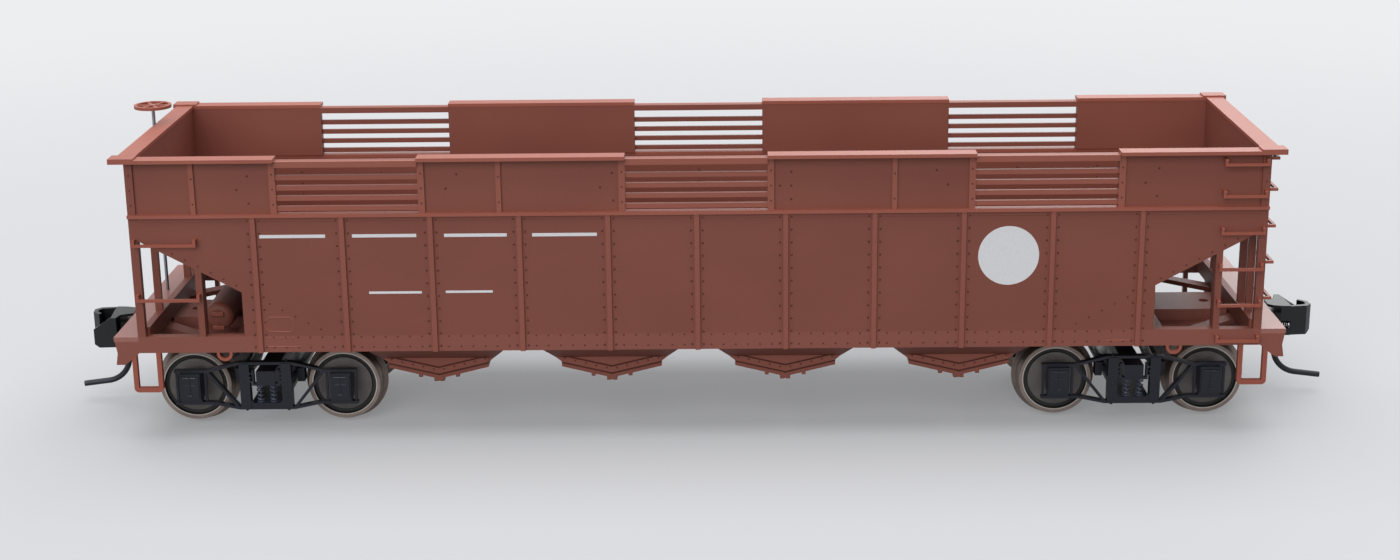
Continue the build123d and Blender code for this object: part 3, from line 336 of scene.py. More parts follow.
# Sills: a lighter copy of the body plastic, painted light matched to how lit they look.
OXIDE_SILL_LIT = oxide_plastic("oxide_plastic_sills_painted_light", "7A483E", "854F44")
# Grab irons, steps, rings and other thin fittings: a lighter, more orange copy of the body plastic,
# painted light for light passing through the thin plastic.
OXIDE_THIN_LIT = oxide_plastic("oxide_plastic_fittings_painted_light", "8A4738", "985140", 0.42, 0.4)
# Rivet heads: a darker copy of the body plastic, painted shade for the shade round the heads.
OXIDE_RIVET_SHADE = oxide_plastic("oxide_plastic_rivets_painted_shade", "47231C", "532B23", 0.6, 0.25)
# Near-black copy of the body plastic: painted shadow along the edges of the chutes' seam bands.
OXIDE_SEAM_SHADOW = oxide_plastic("oxide_plastic_seam_shadows", "32150F", "3B1A13", 0.7, 0.15)
BLACK = black_plastic("truck_plastic", "0D0F19", "161926", 0.3)
SPRING_BLACK = black_plastic("truck_spring_steel", "3C4150", "505666", 0.18)
COUPLER_BLACK = black_plastic("coupler_plastic", "06090B", "0C1113", 0.24)
AXLE = metal("axle_metal", "6A686C", "2A2A2C")
WIRE = metal("blackened_wire", "2B2D33", "131417", 0.36, 0.6)
STAFF = metal("staff_metal", "9A9DA4", "4A4B50", 0.25)
SPRING_WIRE = metal("knuckle_spring_wire", "C9CCD0", "6A6C70", 0.2)
WHITE = white_print("white_print")


# ---- mesh writing ------------------------------------------------------------------------
SMOOTH_BELOW = math.radians(40)  # flatter edges than this are shaded smooth
ROUND_ABOVE = math.radians(35)  # sharper edges than this are rounded
COIL_STEPS = 14  # points to a turn of a spring
CLOSED = 0.6  # turns that lie flat at each end of a spring
BITE = 0.1  # how far a flat piece reaches into what carries it
HEAD_SINK = 0.04  # the same for a rivet's head and for a nut
NUT_SINK = 0.05
HEAD_SIDES = 8
WIRE_SIDES = 7
LINE_SIDES = 6  # of thin raised lines
BARREL_SIDES = 10


class Shape:
    """Builds one mesh from simple solids; all places are millimetres."""

    def __init__(self):
        self.points = []
        self.faces = []

    def add(self, points, faces):
        start = len(self.points)
        self.points += [Vector(p) for p in points]
        self.faces += [[start + i for i in face] for face in faces]

    def ring(self, centre, side, up, radius, count):
        turns = [2 * math.pi * k / count for k in range(count)]
        return [centre + radius * (math.cos(t) * side + math.sin(t) * up) for t in turns]

    def skin(self, rings, count):
        """Faces between rings of count points that lie one after another, and caps on both ends."""
        faces = []
        for k in range(rings - 1):
            a = k * count
            b = a + count
            for i in range(count):
                after = (i + 1) % count
                faces.append([a + i, a + after, b + after, b + i])
        faces.append(list(range(count))[::-1])
        faces.append([(rings - 1) * count + i for i in range(count)])
        return faces

    def tube(self, path, radius, count):
        """A round bar along a list of points."""
        path = [Vector(p) for p in path]
        last = len(path) - 1
        side = None
        points = []
        for k, here in enumerate(path):
            along = (path[min(k + 1, last)] - path[max(k - 1, 0)]).normalized()
            if side is None:
                spare = Vector((0, 0, 1)) if abs(along.z) < 0.9 else Vector((1, 0, 0))
                side = along.cross(spare)
            side = (side - along * side.dot(along)).normalized()
            points += self.ring(here, side, along.cross(side), radius, count)
        self.add(points, self.skin(len(path), count))

    def lathe(self, profile, centre, axis, count):
        """Turns a list of (radius, height) round an axis through centre."""
        axis = Vector(axis).normalized()
        spare = Vector((1, 0, 0)) if abs(axis.x) < 0.9 else Vector((0, 1, 0))
        side = axis.cross(spare).normalized()
        up = axis.cross(side)
        points = []
        for radius, height in profile:
            points += self.ring(Vector(centre) + axis * height, side, up, radius, count)
        self.add(points, self.skin(len(profile), count))

    def rivet(self, centre, out, radius=0.14, rise=0.1):
        """A low domed head whose foot is just inside the plate."""
        dome = [(radius, rise * 0.4), (radius * 0.7, rise * 0.85), (radius * 0.25, rise)]
        self.lathe([(radius, -HEAD_SINK)] + dome, centre, out, HEAD_SIDES)

    def row(self, start, end, pitch, out, radius=0.14, rise=0.1):
        """Rivets from start to end, about pitch apart."""
        start = Vector(start)
        run = Vector(end) - start
        gaps = max(1, round(run.length / pitch))
        for k in range(gaps + 1):
            self.rivet(start + run * k / gaps, out, radius, rise)

    def nut(self, centre, out, radius, rise):
        """A hexagonal nut with its bolt's end."""
        self.lathe([(radius, -NUT_SINK), (radius, rise)], centre, out, 6)
        bolt = [(radius * 0.5, 0), (radius * 0.5, rise * 1.5), (radius * 0.3, rise * 1.7)]
        self.lathe(bolt, centre, out, HEAD_SIDES)

    def coil(self, centre, axis, up, radius, wire, turns, length):
        """A helical spring of round wire with closed ends."""
        axis = Vector(axis)
        up = Vector(up)
        side = axis.cross(up)
        total = int(turns * COIL_STEPS)
        path = []
        for k in range(total + 1):
            part = k / total
            climb = min(max((part * turns - CLOSED) / (turns - 2 * CLOSED), 0), 1)
            along = wire + (length - 2 * wire) * climb
            turn = 2 * math.pi * k / COIL_STEPS
            out = radius * (math.cos(turn) * side + math.sin(turn) * up)
            path.append(Vector(centre) + axis * along + out)
        self.tube(path, wire, WIRE_SIDES)

    def block(self, x0, x1, y0, y1, z0, z1):
        points = [(x, y, z) for x in (x0, x1) for y in (y0, y1) for z in (z0, z1)]
        faces = [[0, 1, 3, 2], [4, 6, 7, 5], [0, 4, 5, 1], [2, 3, 7, 6], [0, 2, 6, 4], [1, 5, 7, 3]]
        self.add(points, faces)

    def plate(self, outline, y0, y1):
        """An (x, z) outline drawn out along Y."""
        count = len(outline)
        points = [(x, y0, z) for x, z in outline] + [(x, y1, z) for x, z in outline]
        faces = [list(range(count)), [count + i for i in range(count)][::-1]]
        faces += [[i, count + i, count + (i + 1) % count, (i + 1) % count] for i in range(count)]
        self.add(points, faces)

    def also_turned(self):
        """Adds the same solids after half a turn about Z, as on the far side."""
        self.add([(-p.x, -p.y, p.z) for p in self.points], [list(f) for f in self.faces])

    def also_mirrored(self):
        """Adds the same solids on the other side of the centreline."""
        self.add([(p.x, -p.y, p.z) for p in self.points], [list(f)[::-1] for f in self.faces])

    def make(self, name, body, finish, bevel=0.0):
        mesh = bpy.data.meshes.new(name)
        mesh.from_pydata([tuple(p * MM) for p in self.points], [], self.faces)
        clean = bmesh.new()
        clean.from_mesh(mesh)
        bmesh.ops.recalc_face_normals(clean, faces=clean.faces)
        clean.to_mesh(mesh)
        clean.free()
        mesh.materials.append(finish)
        piece = bpy.data.objects.new(name, mesh)
        bpy.context.scene.collection.objects.link(piece)
        round_edges(piece, bevel)
        mesh.shade_smooth()
        mesh.set_sharp_from_angle(angle=SMOOTH_BELOW)
        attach(piece, body)
        return piece


def round_edges(piece, radius):
    """Small rounded edges, as a mould leaves them."""
    if not radius:
        return
    cut = piece.modifiers.new("edges", "BEVEL")
    cut.width = radius * MM
    cut.segments = 2
    cut.limit_method = "ANGLE"
    cut.angle_limit = ROUND_ABOVE
    cut.harden_normals = False


# ---- the frame's own pieces --------------------------------------------------------------
FINISHES = [  # start of the node's name, material, edge radius
    ("arch_frames", BLACK, 0.07),
    ("truck_", BLACK, 0.07),
    ("springs", BLACK, 0.0),
    ("brake_beams", BLACK, 0.07),
    ("axle", AXLE, 0.0),
    ("coupler_1", COUPLER_BLACK, 0.16),
    ("coupler_2", COUPLER_BLACK, 0.16),
    ("knuckle", COUPLER_BLACK, 0.2),
    ("trip_pin", WIRE, 0.0),
    ("brake_staff", STAFF, 0.0),
    ("brake_wheel", OXIDE_THIN_LIT, 0.05),
    ("grab_irons", OXIDE_THIN_LIT, 0.06),
    ("steps", OXIDE_THIN_LIT, 0.06),
    ("tow_rings", OXIDE_THIN_LIT, 0.06),
    ("belts", OXIDE_EDGE_HIGHLIGHT, 0.07),
    ("side_posts", OXIDE_POST_HIGHLIGHT, 0.07),
    ("rack_side", OXIDE_RACK_HIGHLIT, 0.05),
    ("rim", OXIDE_EDGE_HIGHLIGHT, 0.08),
    ("decks", OXIDE_DECK_SHEEN, 0.06),
    ("side_sills", OXIDE_SILL_LIT, 0.05),
    ("end_sills", OXIDE_SILL_LIT, 0.05),
    ("sill_covers", OXIDE_SILL_LIT, 0.05),
    ("centre_sill", OXIDE_SILL_LIT, 0.05),
    ("", OXIDE, 0.05),
]


def finish_frame():
    for name, node in frame["nodes"].items():
        if name.startswith("wheels"):
            span = Span(name)
            centre = ((span.x0 + span.x1) / 2, (span.z0 + span.z1) / 2)
            finish, edge = turned_wheel(f"turned_{name}", *centre), 0.0
        else:
            _, finish, edge = next(row for row in FINISHES if name.startswith(row[0]))
        node.data.materials.clear()
        node.data.materials.append(finish)
        round_edges(node, edge)


# ---- rivets ------------------------------------------------------------------------------
RIVET_PITCH = 1.67
ROW_OFFSET = 0.72  # from the middle of a post to the rows beside it
FIRST_RIVET = 0.7  # lowest head of a row over the sill's underside
LAST_RIVET = 0.45  # highest head below the belt
INNER_LOW = 17.8  # lowest head inside the pockets' part of the body
INNER_STEP = 3.0  # least height of an inner row's foot over the outer row's
OVER_SLOPE = 2.4  # inner rows over the slope sheets start this far above their underside
SLOPED_FROM = 40.0  # posts beyond this stand on the slope sheets
FAINT = (0.12, 0.05)  # radius and rise of heads that are nearly flush
SMALL = (0.12, 0.07)
INNER = (0.13, 0.07)
FOOT_ROWS = (12.62, 13.96)  # heights of the faint rows along the foot of the sides
FOOT_INSET = 1.7  # from a post to the first head of those rows
FOOT_PITCH = 1.55
SLOPE_ROWS = ((57.7, 67.0, 0.6), (47.4, 53.7, 0.32))  # X from, X to, height over the slope sheets
SLOPE_PITCH = 1.75


def side_rivets():
    """Rows beside every post, on the outside and inside of the sheets."""
    rows = Shape()
    low = SILL.z0 + FIRST_RIVET
    high = BELT.z0 - LAST_RIVET
    for x in POST_XS:
        for side in (-ROW_OFFSET, ROW_OFFSET):
            rows.row((x + side, -SIDE, low), (x + side, -SIDE, high), RIVET_PITCH, (0, -1, 0))
        inner = INNER_LOW
        if abs(x) > SLOPED_FROM:
            inner = max(low + INNER_STEP, slope_z(x) + OVER_SLOPE)
        rows.row((x, -INSIDE, inner), (x, -INSIDE, high), RIVET_PITCH, (0, 1, 0), *INNER)
    rows.also_turned()
    rows.make("side_rivets", "body", OXIDE_RIVET_SHADE)


def foot_rivets():
    """Faint heads along the sills and where the slope sheets and chutes meet the sides."""
    rows = Shape()
    for left, right in zip(POST_XS, POST_XS[1:]):
        for z in FOOT_ROWS:
            ends = ((left + FOOT_INSET, -SIDE, z), (right - FOOT_INSET, -SIDE, z))
            rows.row(*ends, FOOT_PITCH, (0, -1, 0), *FAINT)
    for side in (-1, 1):
        for x0, x1, reach in SLOPE_ROWS:
            start = (side * x0, -SIDE, slope_z(x0) + reach)
            end = (side * x1, -SIDE, slope_z(x1) + reach)
            rows.row(start, end, SLOPE_PITCH, (0, -1, 0), *SMALL)
    rows.also_turned()
    rows.make("foot_rivets", "body", OXIDE_RIVET_SHADE)


GAP_CENTRES = (0.0, -43.2, 43.2)  # middles of the slatted openings
GAP_HALF = 8.8
STRIP = 0.8  # strips beside the slatted openings
STRIP_ROW = (31.2, 35.0)  # lowest and highest head
STRIP_PITCH = 1.9
CORNER_ROW = 70.1  # heads on the corner posts
STIFFENERS = (-62.4, -24.45, 24.45)
STIFFENER_ROW = (31.3, 34.5)
STIFFENER_PITCH = 3.2
PIN_MARK = (0.15, 0.08)
RACK_DOTS = [  # (X, height) of the pin marks on the rack panels of one side
    (-55.5, 34.75),
    (-56.9, 33.05),
    (-55.5, 31.3),
    (-10.4, 34.8),
    (-11.9, 33.0),
    (-10.3, 31.3),
    (11.7, 34.75),
    (10.3, 33.0),
    (11.7, 33.0),
    (11.7, 31.3),
    (56.9, 34.8),
    (55.3, 33.0),
    (56.8, 31.3),
    (29.6, 34.8),
    (-29.6, 34.8),
    (31.0, 33.0),
    (-31.0, 33.0),
]


def rack_rivets():
    """Pin marks on the rack panels and heads on the strips, stiffeners and corner posts."""
    marks = Shape()
    for x, z in RACK_DOTS:
        marks.rivet((x, -RACK_FACE, z), (0, -1, 0), *PIN_MARK)
    strips = []
    for centre in GAP_CENTRES:
        strips += [centre - GAP_HALF - STRIP / 2, centre + GAP_HALF + STRIP / 2]
    for x in strips + [-CORNER_ROW, CORNER_ROW]:
        foot, top = [(x, -SIDE, z) for z in STRIP_ROW]
        marks.row(foot, top, STRIP_PITCH, (0, -1, 0), *FAINT)
    for x in STIFFENERS:
        foot, top = [(x, -SIDE, z) for z in STIFFENER_ROW]
        marks.row(foot, top, STIFFENER_PITCH, (0, -1, 0), *FAINT)
    marks.also_turned()
    marks.make("rack_rivets", "body", OXIDE_RIVET_SHADE)


CHUTE_FACE = 15.15  # outer face of the seam bands
BAND_RISE = 0.15  # of the seam bands over the chutes
VALLEY = 6.35  # half width of a pocket's V, at its corners
CORNER_Z = 9.2
POINT_Z = 7.7
LUG_X = 2.35  # middle of the small lugs beside a latch
LUG_HALF = 0.25
LUG_DROP = 0.35  # from the V down to a lug's foot
LUG_RISE = 0.3
LATCH_HALF = 0.6
LATCH_Z = (7.4, 8.15)
PLATE_DEPTH = 1.0  # how far latches and lugs reach back from the seam bands
SEAM_SHADOW_RISES = (0.62, 1.53)  # of the painted shadow lines over the V
SEAM_SHADOW_R = 0.09  # radius of a painted shadow line
SEAM_SHADOW_SINK = 0.03  # its middle lies this far behind the band
V_ROW = [(VALLEY - 0.4, CORNER_Z + 1.15), (0.65, POINT_Z + 1.35)]  # ends, from a pocket's middle
V_PITCH = 1.35
V_HEAD = (0.13, 0.08)
CHUTE_HEAD = 11.35  # row of heads under the sill, on the chute's own face
CHUTE_ROW_HALF = 6.4
CHUTE_PITCH = 1.6


def chute_rivets():
    """A row along the V of every pocket's side, and one under the sill."""
    rows = Shape()
    plain = -CHUTE_FACE + BAND_RISE
    for x in POCKET_XS:
        for side in (-1, 1):
            start, end = [(x + side * reach, -CHUTE_FACE, z) for reach, z in V_ROW]
            rows.row(start, end, V_PITCH, (0, -1, 0), *V_HEAD)
        ends = ((x - CHUTE_ROW_HALF, plain, CHUTE_HEAD), (x + CHUTE_ROW_HALF, plain, CHUTE_HEAD))
        rows.row(*ends, CHUTE_PITCH, (0, -1, 0), *FAINT)
    rows.also_turned()
    rows.make("chute_rivets", "body", OXIDE_RIVET_SHADE)


def chute_seam_shadows():
    """The dark lines above and below every pocket's seam band, which are painted shadow along the
    band's edges, then the latches' plates and the lugs.
    """
    lines = Shape()
    plates = Shape()
    face = -CHUTE_FACE + SEAM_SHADOW_SINK
    depth = (-CHUTE_FACE + BITE, -CHUTE_FACE + PLATE_DEPTH)
    for x in POCKET_XS:
        for rise in SEAM_SHADOW_RISES:
            for side in (-1, 1):
                start = (x + side * VALLEY, face, CORNER_Z + rise)
                lines.tube([start, (x, face, POINT_Z + rise)], SEAM_SHADOW_R, LINE_SIDES)
        plates.block(x - LATCH_HALF, x + LATCH_HALF, *depth, *LATCH_Z)
        for side in (-1, 1):
            lug = x + side * LUG_X
            v_z = POINT_Z + (CORNER_Z - POINT_Z) * LUG_X / VALLEY
            plates.block(lug - LUG_HALF, lug + LUG_HALF, *depth, v_z - LUG_DROP, v_z + LUG_RISE)
    lines.also_turned()
    lines.make("chute_seam_shadows", "body", OXIDE_SEAM_SHADOW)
    plates.also_turned()
    plates.make("door_latches", "body", OXIDE, bevel=0.06)


END_ROWS = (-12.0, -7.8, 7.8)  # posts of an end wall
END_ROW_Z = (27.6, 35.6)
END_EDGES = (-15.4, 15.4)
END_EDGE_Z = (27.4, 35.8)
END_FOOT_HALF = 14.2  # half length of the row along an end wall's foot
END_FOOT_Z = 27.2
END_FOOT_PITCH = 1.6
END_SILL_X = 73.6
END_SILL_ROWS = ((-15.8, -5.2), (5.2, 15.8))
END_SILL_Z = 12.9
END_SILL_PITCH = 1.7
CORNER_X = 70.6
CORNER_Y = 16.4
CORNER_HEIGHTS = (15.2, 17.6, 20.0, 22.4, 24.8)


def end_rivets():
    """Rows down the end walls' posts, along the end sills and on the corner posts."""
    rows = Shape()
    face = WALLS.x1
    for ys, zs in ((END_ROWS, END_ROW_Z), (END_EDGES, END_EDGE_Z)):
        for y in ys:
            foot, top = [(face, y, z) for z in zs]
            rows.row(foot, top, RIVET_PITCH, (1, 0, 0))
    left, right = [(face, y, END_FOOT_Z) for y in (-END_FOOT_HALF, END_FOOT_HALF)]
    rows.row(left, right, END_FOOT_PITCH, (1, 0, 0), *FAINT)
    for ys in END_SILL_ROWS:
        left, right = [(END_SILL_X, y, END_SILL_Z) for y in ys]
        rows.row(left, right, END_SILL_PITCH, (1, 0, 0), *FAINT)
    for z in CORNER_HEIGHTS:
        rows.rivet((CORNER_X, -CORNER_Y, z), (1, 0, 0))
        rows.rivet((CORNER_X, CORNER_Y, z), (1, 0, 0))
    rows.also_turned()
    rows.make("end_rivets", "body", OXIDE_RIVET_SHADE)


GRAB_ENDS = (64.98, 69.94)  # the feet of the side grab irons of a ladder
GRAB_HEIGHTS = (13.3, 17.95, 22.6, 27.25, 31.95, 35.95)
GRAB_FACE = 17.85
BOLT_HEAD = (0.16, 0.06)


def grab_bolts():
    """The bolt heads on the side feet of the ladders' grab irons."""
    heads = Shape()
    for x in GRAB_ENDS:
        for z in GRAB_HEIGHTS:
            heads.rivet((x, -GRAB_FACE, z), (0, -1, 0), *BOLT_HEAD)
    heads.also_turned()
    heads.make("grab_bolts", "body", OXIDE_THIN_LIT)


# ---- side fittings -----------------------------------------------------------------------
BOARD = (-54.4, -50.7, 14.7, 16.6)  # tack board at the left end of a side: X and height
BOARD_CUT = 0.55  # its corners are cut off
BOARD_LINE = 0.12
SHELF_Z = 12.75
LEFT_SHELF = (BOARD[0] - 0.2, BOARD[1] + 0.6)
RIGHT_SHELF = (51.1, 54.5)
PINS = 5
FIRST_PIN = 0.5  # from the board's end
PIN_PITCH = 0.72
PIN_Z = 13.9
PIN_HEAD = (0.12, 0.06)


def tack_boards():
    """The raised outline of the tack board, its pins and the shelves under it, on each side."""
    x0, x1, z0, z1 = BOARD
    lines = Shape()
    left, right = x0 + BOARD_CUT, x1 - BOARD_CUT
    low, high = z0 + BOARD_CUT, z1 - BOARD_CUT
    corners = [(left, z1), (right, z1), (x1, high), (x1, low), (right, z0)]
    corners += [(left, z0), (x0, low), (x0, high), (left, z1)]
    lines.tube([(x, -SIDE, z) for x, z in corners], BOARD_LINE / 2, LINE_SIDES)
    for shelf in (LEFT_SHELF, RIGHT_SHELF):
        ends = [(x, -SIDE, SHELF_Z) for x in shelf]
        lines.tube(ends, BOARD_LINE / 2, LINE_SIDES)
    for k in range(PINS):
        lines.rivet((x0 + FIRST_PIN + PIN_PITCH * k, -SIDE, PIN_Z), (0, -1, 0), *PIN_HEAD)
    lines.also_turned()
    lines.make("tack_boards", "body", OXIDE_EDGE_HIGHLIGHT)


FLANGE_HALF = 69.6  # half length of the belt's lower flange
FLANGE_DROP = 0.55
FLANGE_LAP = 0.05  # over the belt's lower edge
FLANGE_REACH = 0.06  # out from the sheet


def belt_flanges():
    """The thin lower flange of the belt's angle."""
    flange = Shape()
    depth = (-SIDE - FLANGE_REACH, -SIDE + BITE)
    flange.block(-FLANGE_HALF, FLANGE_HALF, *depth, BELT.z0 - FLANGE_DROP, BELT.z0 + FLANGE_LAP)
    flange.also_turned()
    flange.make("belt_flanges", "body", OXIDE, bevel=0.03)


TANK_LUG_RISES = (0.5, -1.3)  # middles of the tank's lugs from its axis
TANK_LUG_HALF = 0.78
TANK_LUG_THICK = 0.6
TANK_LUG_REACH = 0.02
TANK_LUG_DEPTH = 0.9


def tank_lugs():
    """The two flat lugs on the near end of the air tank."""
    tank = Span("brake_cylinder")
    x = (tank.x0 + tank.x1) / 2
    middle = tank.z1 - (tank.x1 - tank.x0) / 2
    depth = (tank.y0 - TANK_LUG_REACH, tank.y0 + TANK_LUG_DEPTH)
    half = TANK_LUG_THICK / 2
    lugs = Shape()
    for rise in TANK_LUG_RISES:
        z = middle + rise
        lugs.block(x - TANK_LUG_HALF, x + TANK_LUG_HALF, *depth, z - half, z + half)
    lugs.make("tank_lugs", "body", OXIDE_EDGE_HIGHLIGHT, bevel=0.1)


HINGE_YS = (-12.4, -8.2, 8.2, 12.4)
HINGE_HALF = 0.9
HINGE_R = 0.18
HINGE_INSET = 0.25  # from the V's corner
HINGE_Z = CORNER_Z + 0.02


def door_hinges():
    """Hinge barrels along the top of each hopper door."""
    barrels = Shape()
    for x in POCKET_XS:
        for side in (-1, 1):
            place = x + side * (VALLEY - HINGE_INSET)
            for y in HINGE_YS:
                ends = [(place, y + reach, HINGE_Z) for reach in (-HINGE_HALF, HINGE_HALF)]
                barrels.tube(ends, HINGE_R, BARREL_SIDES)
    barrels.make("door_hinges", "body", OXIDE)


# ---- trucks and couplers -----------------------------------------------------------------
FRAME_Y = 12.1  # middle plane of the side frames
SPRING_R = 0.5
SPRING_WIRE_R = 0.11
SPRING_CORE_R = 0.12
SPRING_TURNS = 5
COLUMN = 2.7  # middle of a column from the truck's centre
COLUMN_FACE = 12.7
COLUMN_TOP = 9.22
COLUMN_FOOT = 2.83
COLUMN_PINS = (4.6, 5.5, 6.6)
COLUMN_PIN_HEAD = (0.15, 0.1)
COLUMN_NUT = (0.24, 0.18)
JOURNAL = 9.7  # middle of an axle box from the truck's centre
LID_LINES = [  # a lid's raised lines: half length, Y, height, radius and sides
    (0.8, 13.3, 7.35, 0.16, 8),
    (0.75, 13.36, 6.35, 0.07, 6),
    (0.3, 13.42, 5.0, 0.1, 6),
]


def coil_springs(number, middle):
    """Two coil springs in each side frame of a truck, in place of plain ones."""
    plain = Span(f"springs_{number}")
    half = (plain.x1 - plain.x0) / 2 - SPRING_R
    height = plain.z1 - plain.z0
    coils = Shape()
    wire = (SPRING_R - SPRING_WIRE_R, SPRING_WIRE_R, SPRING_TURNS)
    for x in (middle - half, middle + half):
        foot = (x, -FRAME_Y, plain.z0)
        coils.coil(foot, (0, 0, 1), (0, -1, 0), *wire, height)
        core = [(SPRING_CORE_R, 0), (SPRING_CORE_R, height)]
        coils.lathe(core, foot, (0, 0, 1), BARREL_SIDES)
    coils.also_mirrored()
    piece = coils.make(f"coil_springs_{number}", f"truck_{number}", SPRING_BLACK)
    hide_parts(f"springs_{number}")


def truck_bolts(number, middle):
    """Nuts and pins of the columns, and the hinges and lines of the journal lids."""
    small = Shape()
    for side in (-1, 1):
        column = middle + side * COLUMN
        small.nut((column, -FRAME_Y, COLUMN_TOP), (0, 0, 1), *COLUMN_NUT)
        small.nut((column, -FRAME_Y, COLUMN_FOOT), (0, 0, -1), *COLUMN_NUT)
        for z in COLUMN_PINS:
            small.rivet((column, -COLUMN_FACE, z), (0, -1, 0), *COLUMN_PIN_HEAD)
        axle = middle + side * JOURNAL
        for half, y, z, radius, count in LID_LINES:
            small.tube([(axle - half, -y, z), (axle + half, -y, z)], radius, count)
    small.also_mirrored()
    small.make(f"truck_bolts_{number}", f"truck_{number}", BLACK)


SLOT = (76.5, 1.72, 9.9)  # back end of the slot in a coupler's head
SLOT_SPRING = (0.27, 0.07, 7, 1.75)  # radius, wire's radius, turns and length


def knuckle_spring(number, side):
    """The small bright spring in the slot of a coupler's head."""
    x, y, z = SLOT
    spring = Shape()
    spring.coil((side * x, side * -y, z), (side, 0, 0), (0, 0, 1), *SLOT_SPRING)
    spring.make(f"knuckle_spring_{number}", f"draw_{number}", SPRING_WIRE)


# ---- prints ------------------------------------------------------------------------------
DISC_X, DISC_Z, DISC_R = 38.7, 23.9, 3.78
BARS = [  # (X from, X to, height of the middle, width)
    (-54.4, -46.2, 27.1, 0.42),
    (-42.85, -34.85, 27.1, 0.42),
    (-31.4, -23.6, 27.08, 0.42),
    (-20.45, -12.4, 27.06, 0.42),
    (-41.1, -34.5, 19.73, 0.3),
    (-31.5, -25.6, 19.77, 0.3),
]
PRINT_RISE = 0.02
DISC_POINTS = 96


def prints():
    """A plain white disc and plain white bars on each side."""
    marks = Shape()
    face = -SIDE - PRINT_RISE
    back = -SIDE + BITE
    turns = [2 * math.pi * k / DISC_POINTS for k in range(DISC_POINTS)]
    disc = [(DISC_X + DISC_R * math.cos(t), DISC_Z + DISC_R * math.sin(t)) for t in turns]
    marks.plate(disc, face, back)
    for x0, x1, z, width in BARS:
        marks.block(x0, x1, face, back, z - width / 2, z + width / 2)
    marks.also_turned()
    marks.make("white_marks", "body", WHITE)


# ---- stage -------------------------------------------------------------------------------
CAMERA = {"x": 3.09, "y": -275.42, "z": 95.92, "yaw": -0.678, "pitch": 16.151, "roll": 0.641}
VIEW_WIDTH = 1400
FOCAL_PIXELS = 2156.8
OPTICAL_X = 697.6
FILM = 36.0


def camera():
    data = bpy.data.cameras.new("camera")
    data.sensor_width = FILM
    data.lens = FOCAL_PIXELS / VIEW_WIDTH * FILM
    data.shift_x = (VIEW_WIDTH / 2 - OPTICAL_X) / VIEW_WIDTH
    data.clip_start = 0.01
    data.clip_end = 50
    eye = bpy.data.objects.new("camera", data)
    bpy.context.scene.collection.objects.link(eye)
    turn = Matrix.Rotation(math.radians(-CAMERA["yaw"]), 4, "Z")
    turn @= Matrix.Rotation(math.radians(90 - CAMERA["pitch"]), 4, "X")
    turn @= Matrix.Rotation(math.radians(-CAMERA["roll"]), 4, "Z")
    place = Vector((CAMERA["x"], CAMERA["y"], CAMERA["z"])) * MM
    eye.matrix_world = Matrix.Translation(place) @ turn
    bpy.context.scene.camera = eye


LIGHTS = [  # name, place and aim in metres, size, watts
    ("overhead", (0.0, 0.05, 0.75), (0, 0, 0), 0.9, 8.6),
    ("front", (-0.25, -0.85, 0.45), (0, 0, 0.02), 0.7, 6.1),
    ("back", (0.3, 0.8, 0.5), (0, 0, 0.03), 0.6, 2.4),
]


def lights():
    for name, place, aim, size, watts in LIGHTS:
        data = bpy.data.lights.new(name, "AREA")
        data.size = size
        data.energy = watts
        lamp = bpy.data.objects.new(name, data)
        bpy.context.scene.collection.objects.link(lamp)
        away = Vector(place) - Vector(aim)
        turn = away.to_track_quat("Z", "Y").to_matrix().to_4x4()
        lamp.matrix_world = Matrix.Translation(place) @ turn


BACKDROP = "EDEEF0"
SKY = (0.97, 0.98, 1.0, 1.0)
WORLD_LIGHT = 0.38
SEEN = ("Is Camera Ray", "Is Glossy Ray", "Is Transmission Ray")


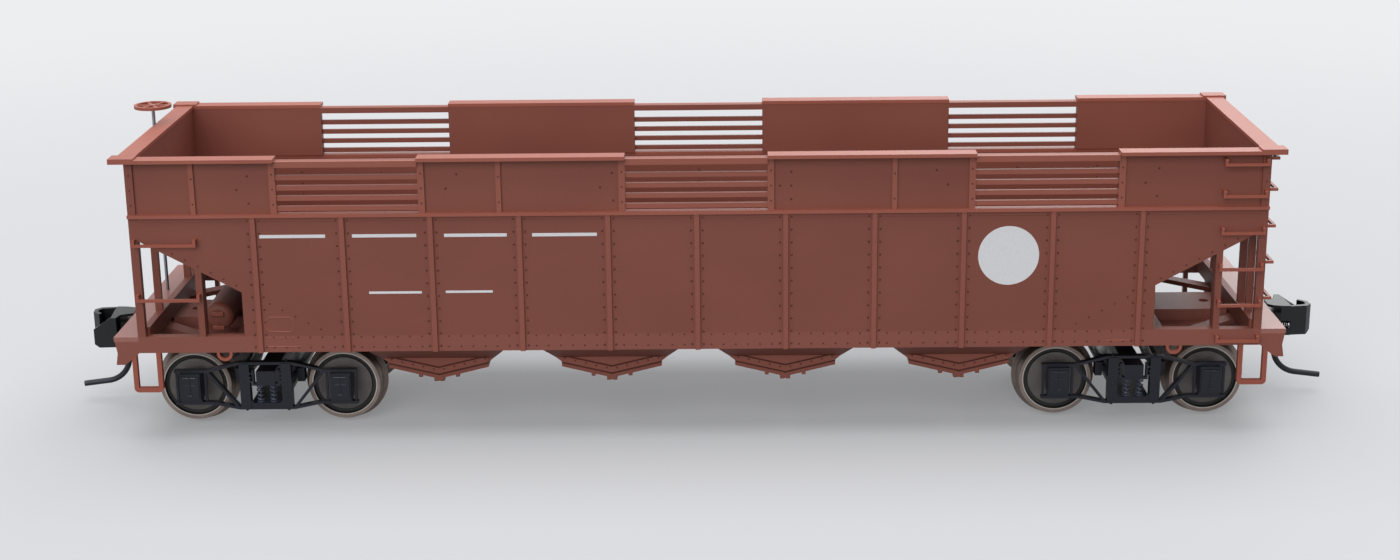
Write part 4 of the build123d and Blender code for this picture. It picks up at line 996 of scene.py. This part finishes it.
def world():
    """Soft even light, and a pale backdrop wherever the camera or a reflection sees it."""
    made = bpy.data.worlds.new("world")
    made.use_nodes = True
    bpy.context.scene.world = made
    tree = Tree(made.node_tree)
    lit = tree.node("ShaderNodeBackground", None, {"Color": SKY, "Strength": WORLD_LIGHT})[0]
    shown = tree.node("ShaderNodeBackground", None, {"Color": linear(BACKDROP), "Strength": 1.0})[0]
    surface = tree.blend(tree.either(*SEEN), lit, shown)
    tree.node("ShaderNodeOutputWorld", None, {"Surface": surface})


FLOOR_REACH = 6.0
TABLE = "ABACAF"  # what the camera sees under the lamps
TABLE_BOUNCE = "545558"  # what lights the underside
NEAR_GLOW = 0.25
FADE = (0.08, 0.36)  # the table turns into the backdrop between these distances, in metres


def floor():
    """A pale table under the wheels, which keeps the shadow and fades into the backdrop."""
    made = bpy.data.materials.new("floor")
    made.use_nodes = True
    tree = Tree(made.node_tree)
    x, y, _ = tree.parts(tree.place())
    radius = (x * x + y * y) ** 0.5
    far = tree.above(radius, sum(FADE) / 2, FADE[1] - FADE[0])
    colour = tree.mix(tree.either("Is Diffuse Ray"), linear(TABLE), linear(TABLE_BOUNCE))
    table = tree.node("ShaderNodeBsdfDiffuse", None, {"Color": colour})[0]
    glow = tree.node("ShaderNodeEmission", None, {"Color": linear(BACKDROP), "Strength": 1.0})[0]
    amount = (NEAR_GLOW + far * (1 - NEAR_GLOW)) * tree.either(*SEEN)
    tree.node("ShaderNodeOutputMaterial", None, {"Surface": tree.blend(amount, table, glow)})
    mesh = bpy.data.meshes.new("floor")
    reach = FLOOR_REACH
    corners = [(-reach, -reach, 0), (reach, -reach, 0), (reach, reach, 0), (-reach, reach, 0)]
    mesh.from_pydata(corners, [], [[0, 1, 2, 3]])
    mesh.materials.append(made)
    ground = bpy.data.objects.new("floor", mesh)
    bpy.context.scene.collection.objects.link(ground)


# ---- making ------------------------------------------------------------------------------
bpy.context.scene.view_settings.view_transform = "Standard"
camera()
finish_frame()
side_rivets()
foot_rivets()
rack_rivets()
chute_rivets()
chute_seam_shadows()
end_rivets()
grab_bolts()
tack_boards()
belt_flanges()
tank_lugs()
door_hinges()
for number, side in ((1, -1), (2, 1)):
    springs = Span(f"springs_{number}")
    truck_middle = (springs.x0 + springs.x1) / 2
    coil_springs(number, truck_middle)
    truck_bolts(number, truck_middle)
    knuckle_spring(number, side)
prints()
lights()
world()
floor()
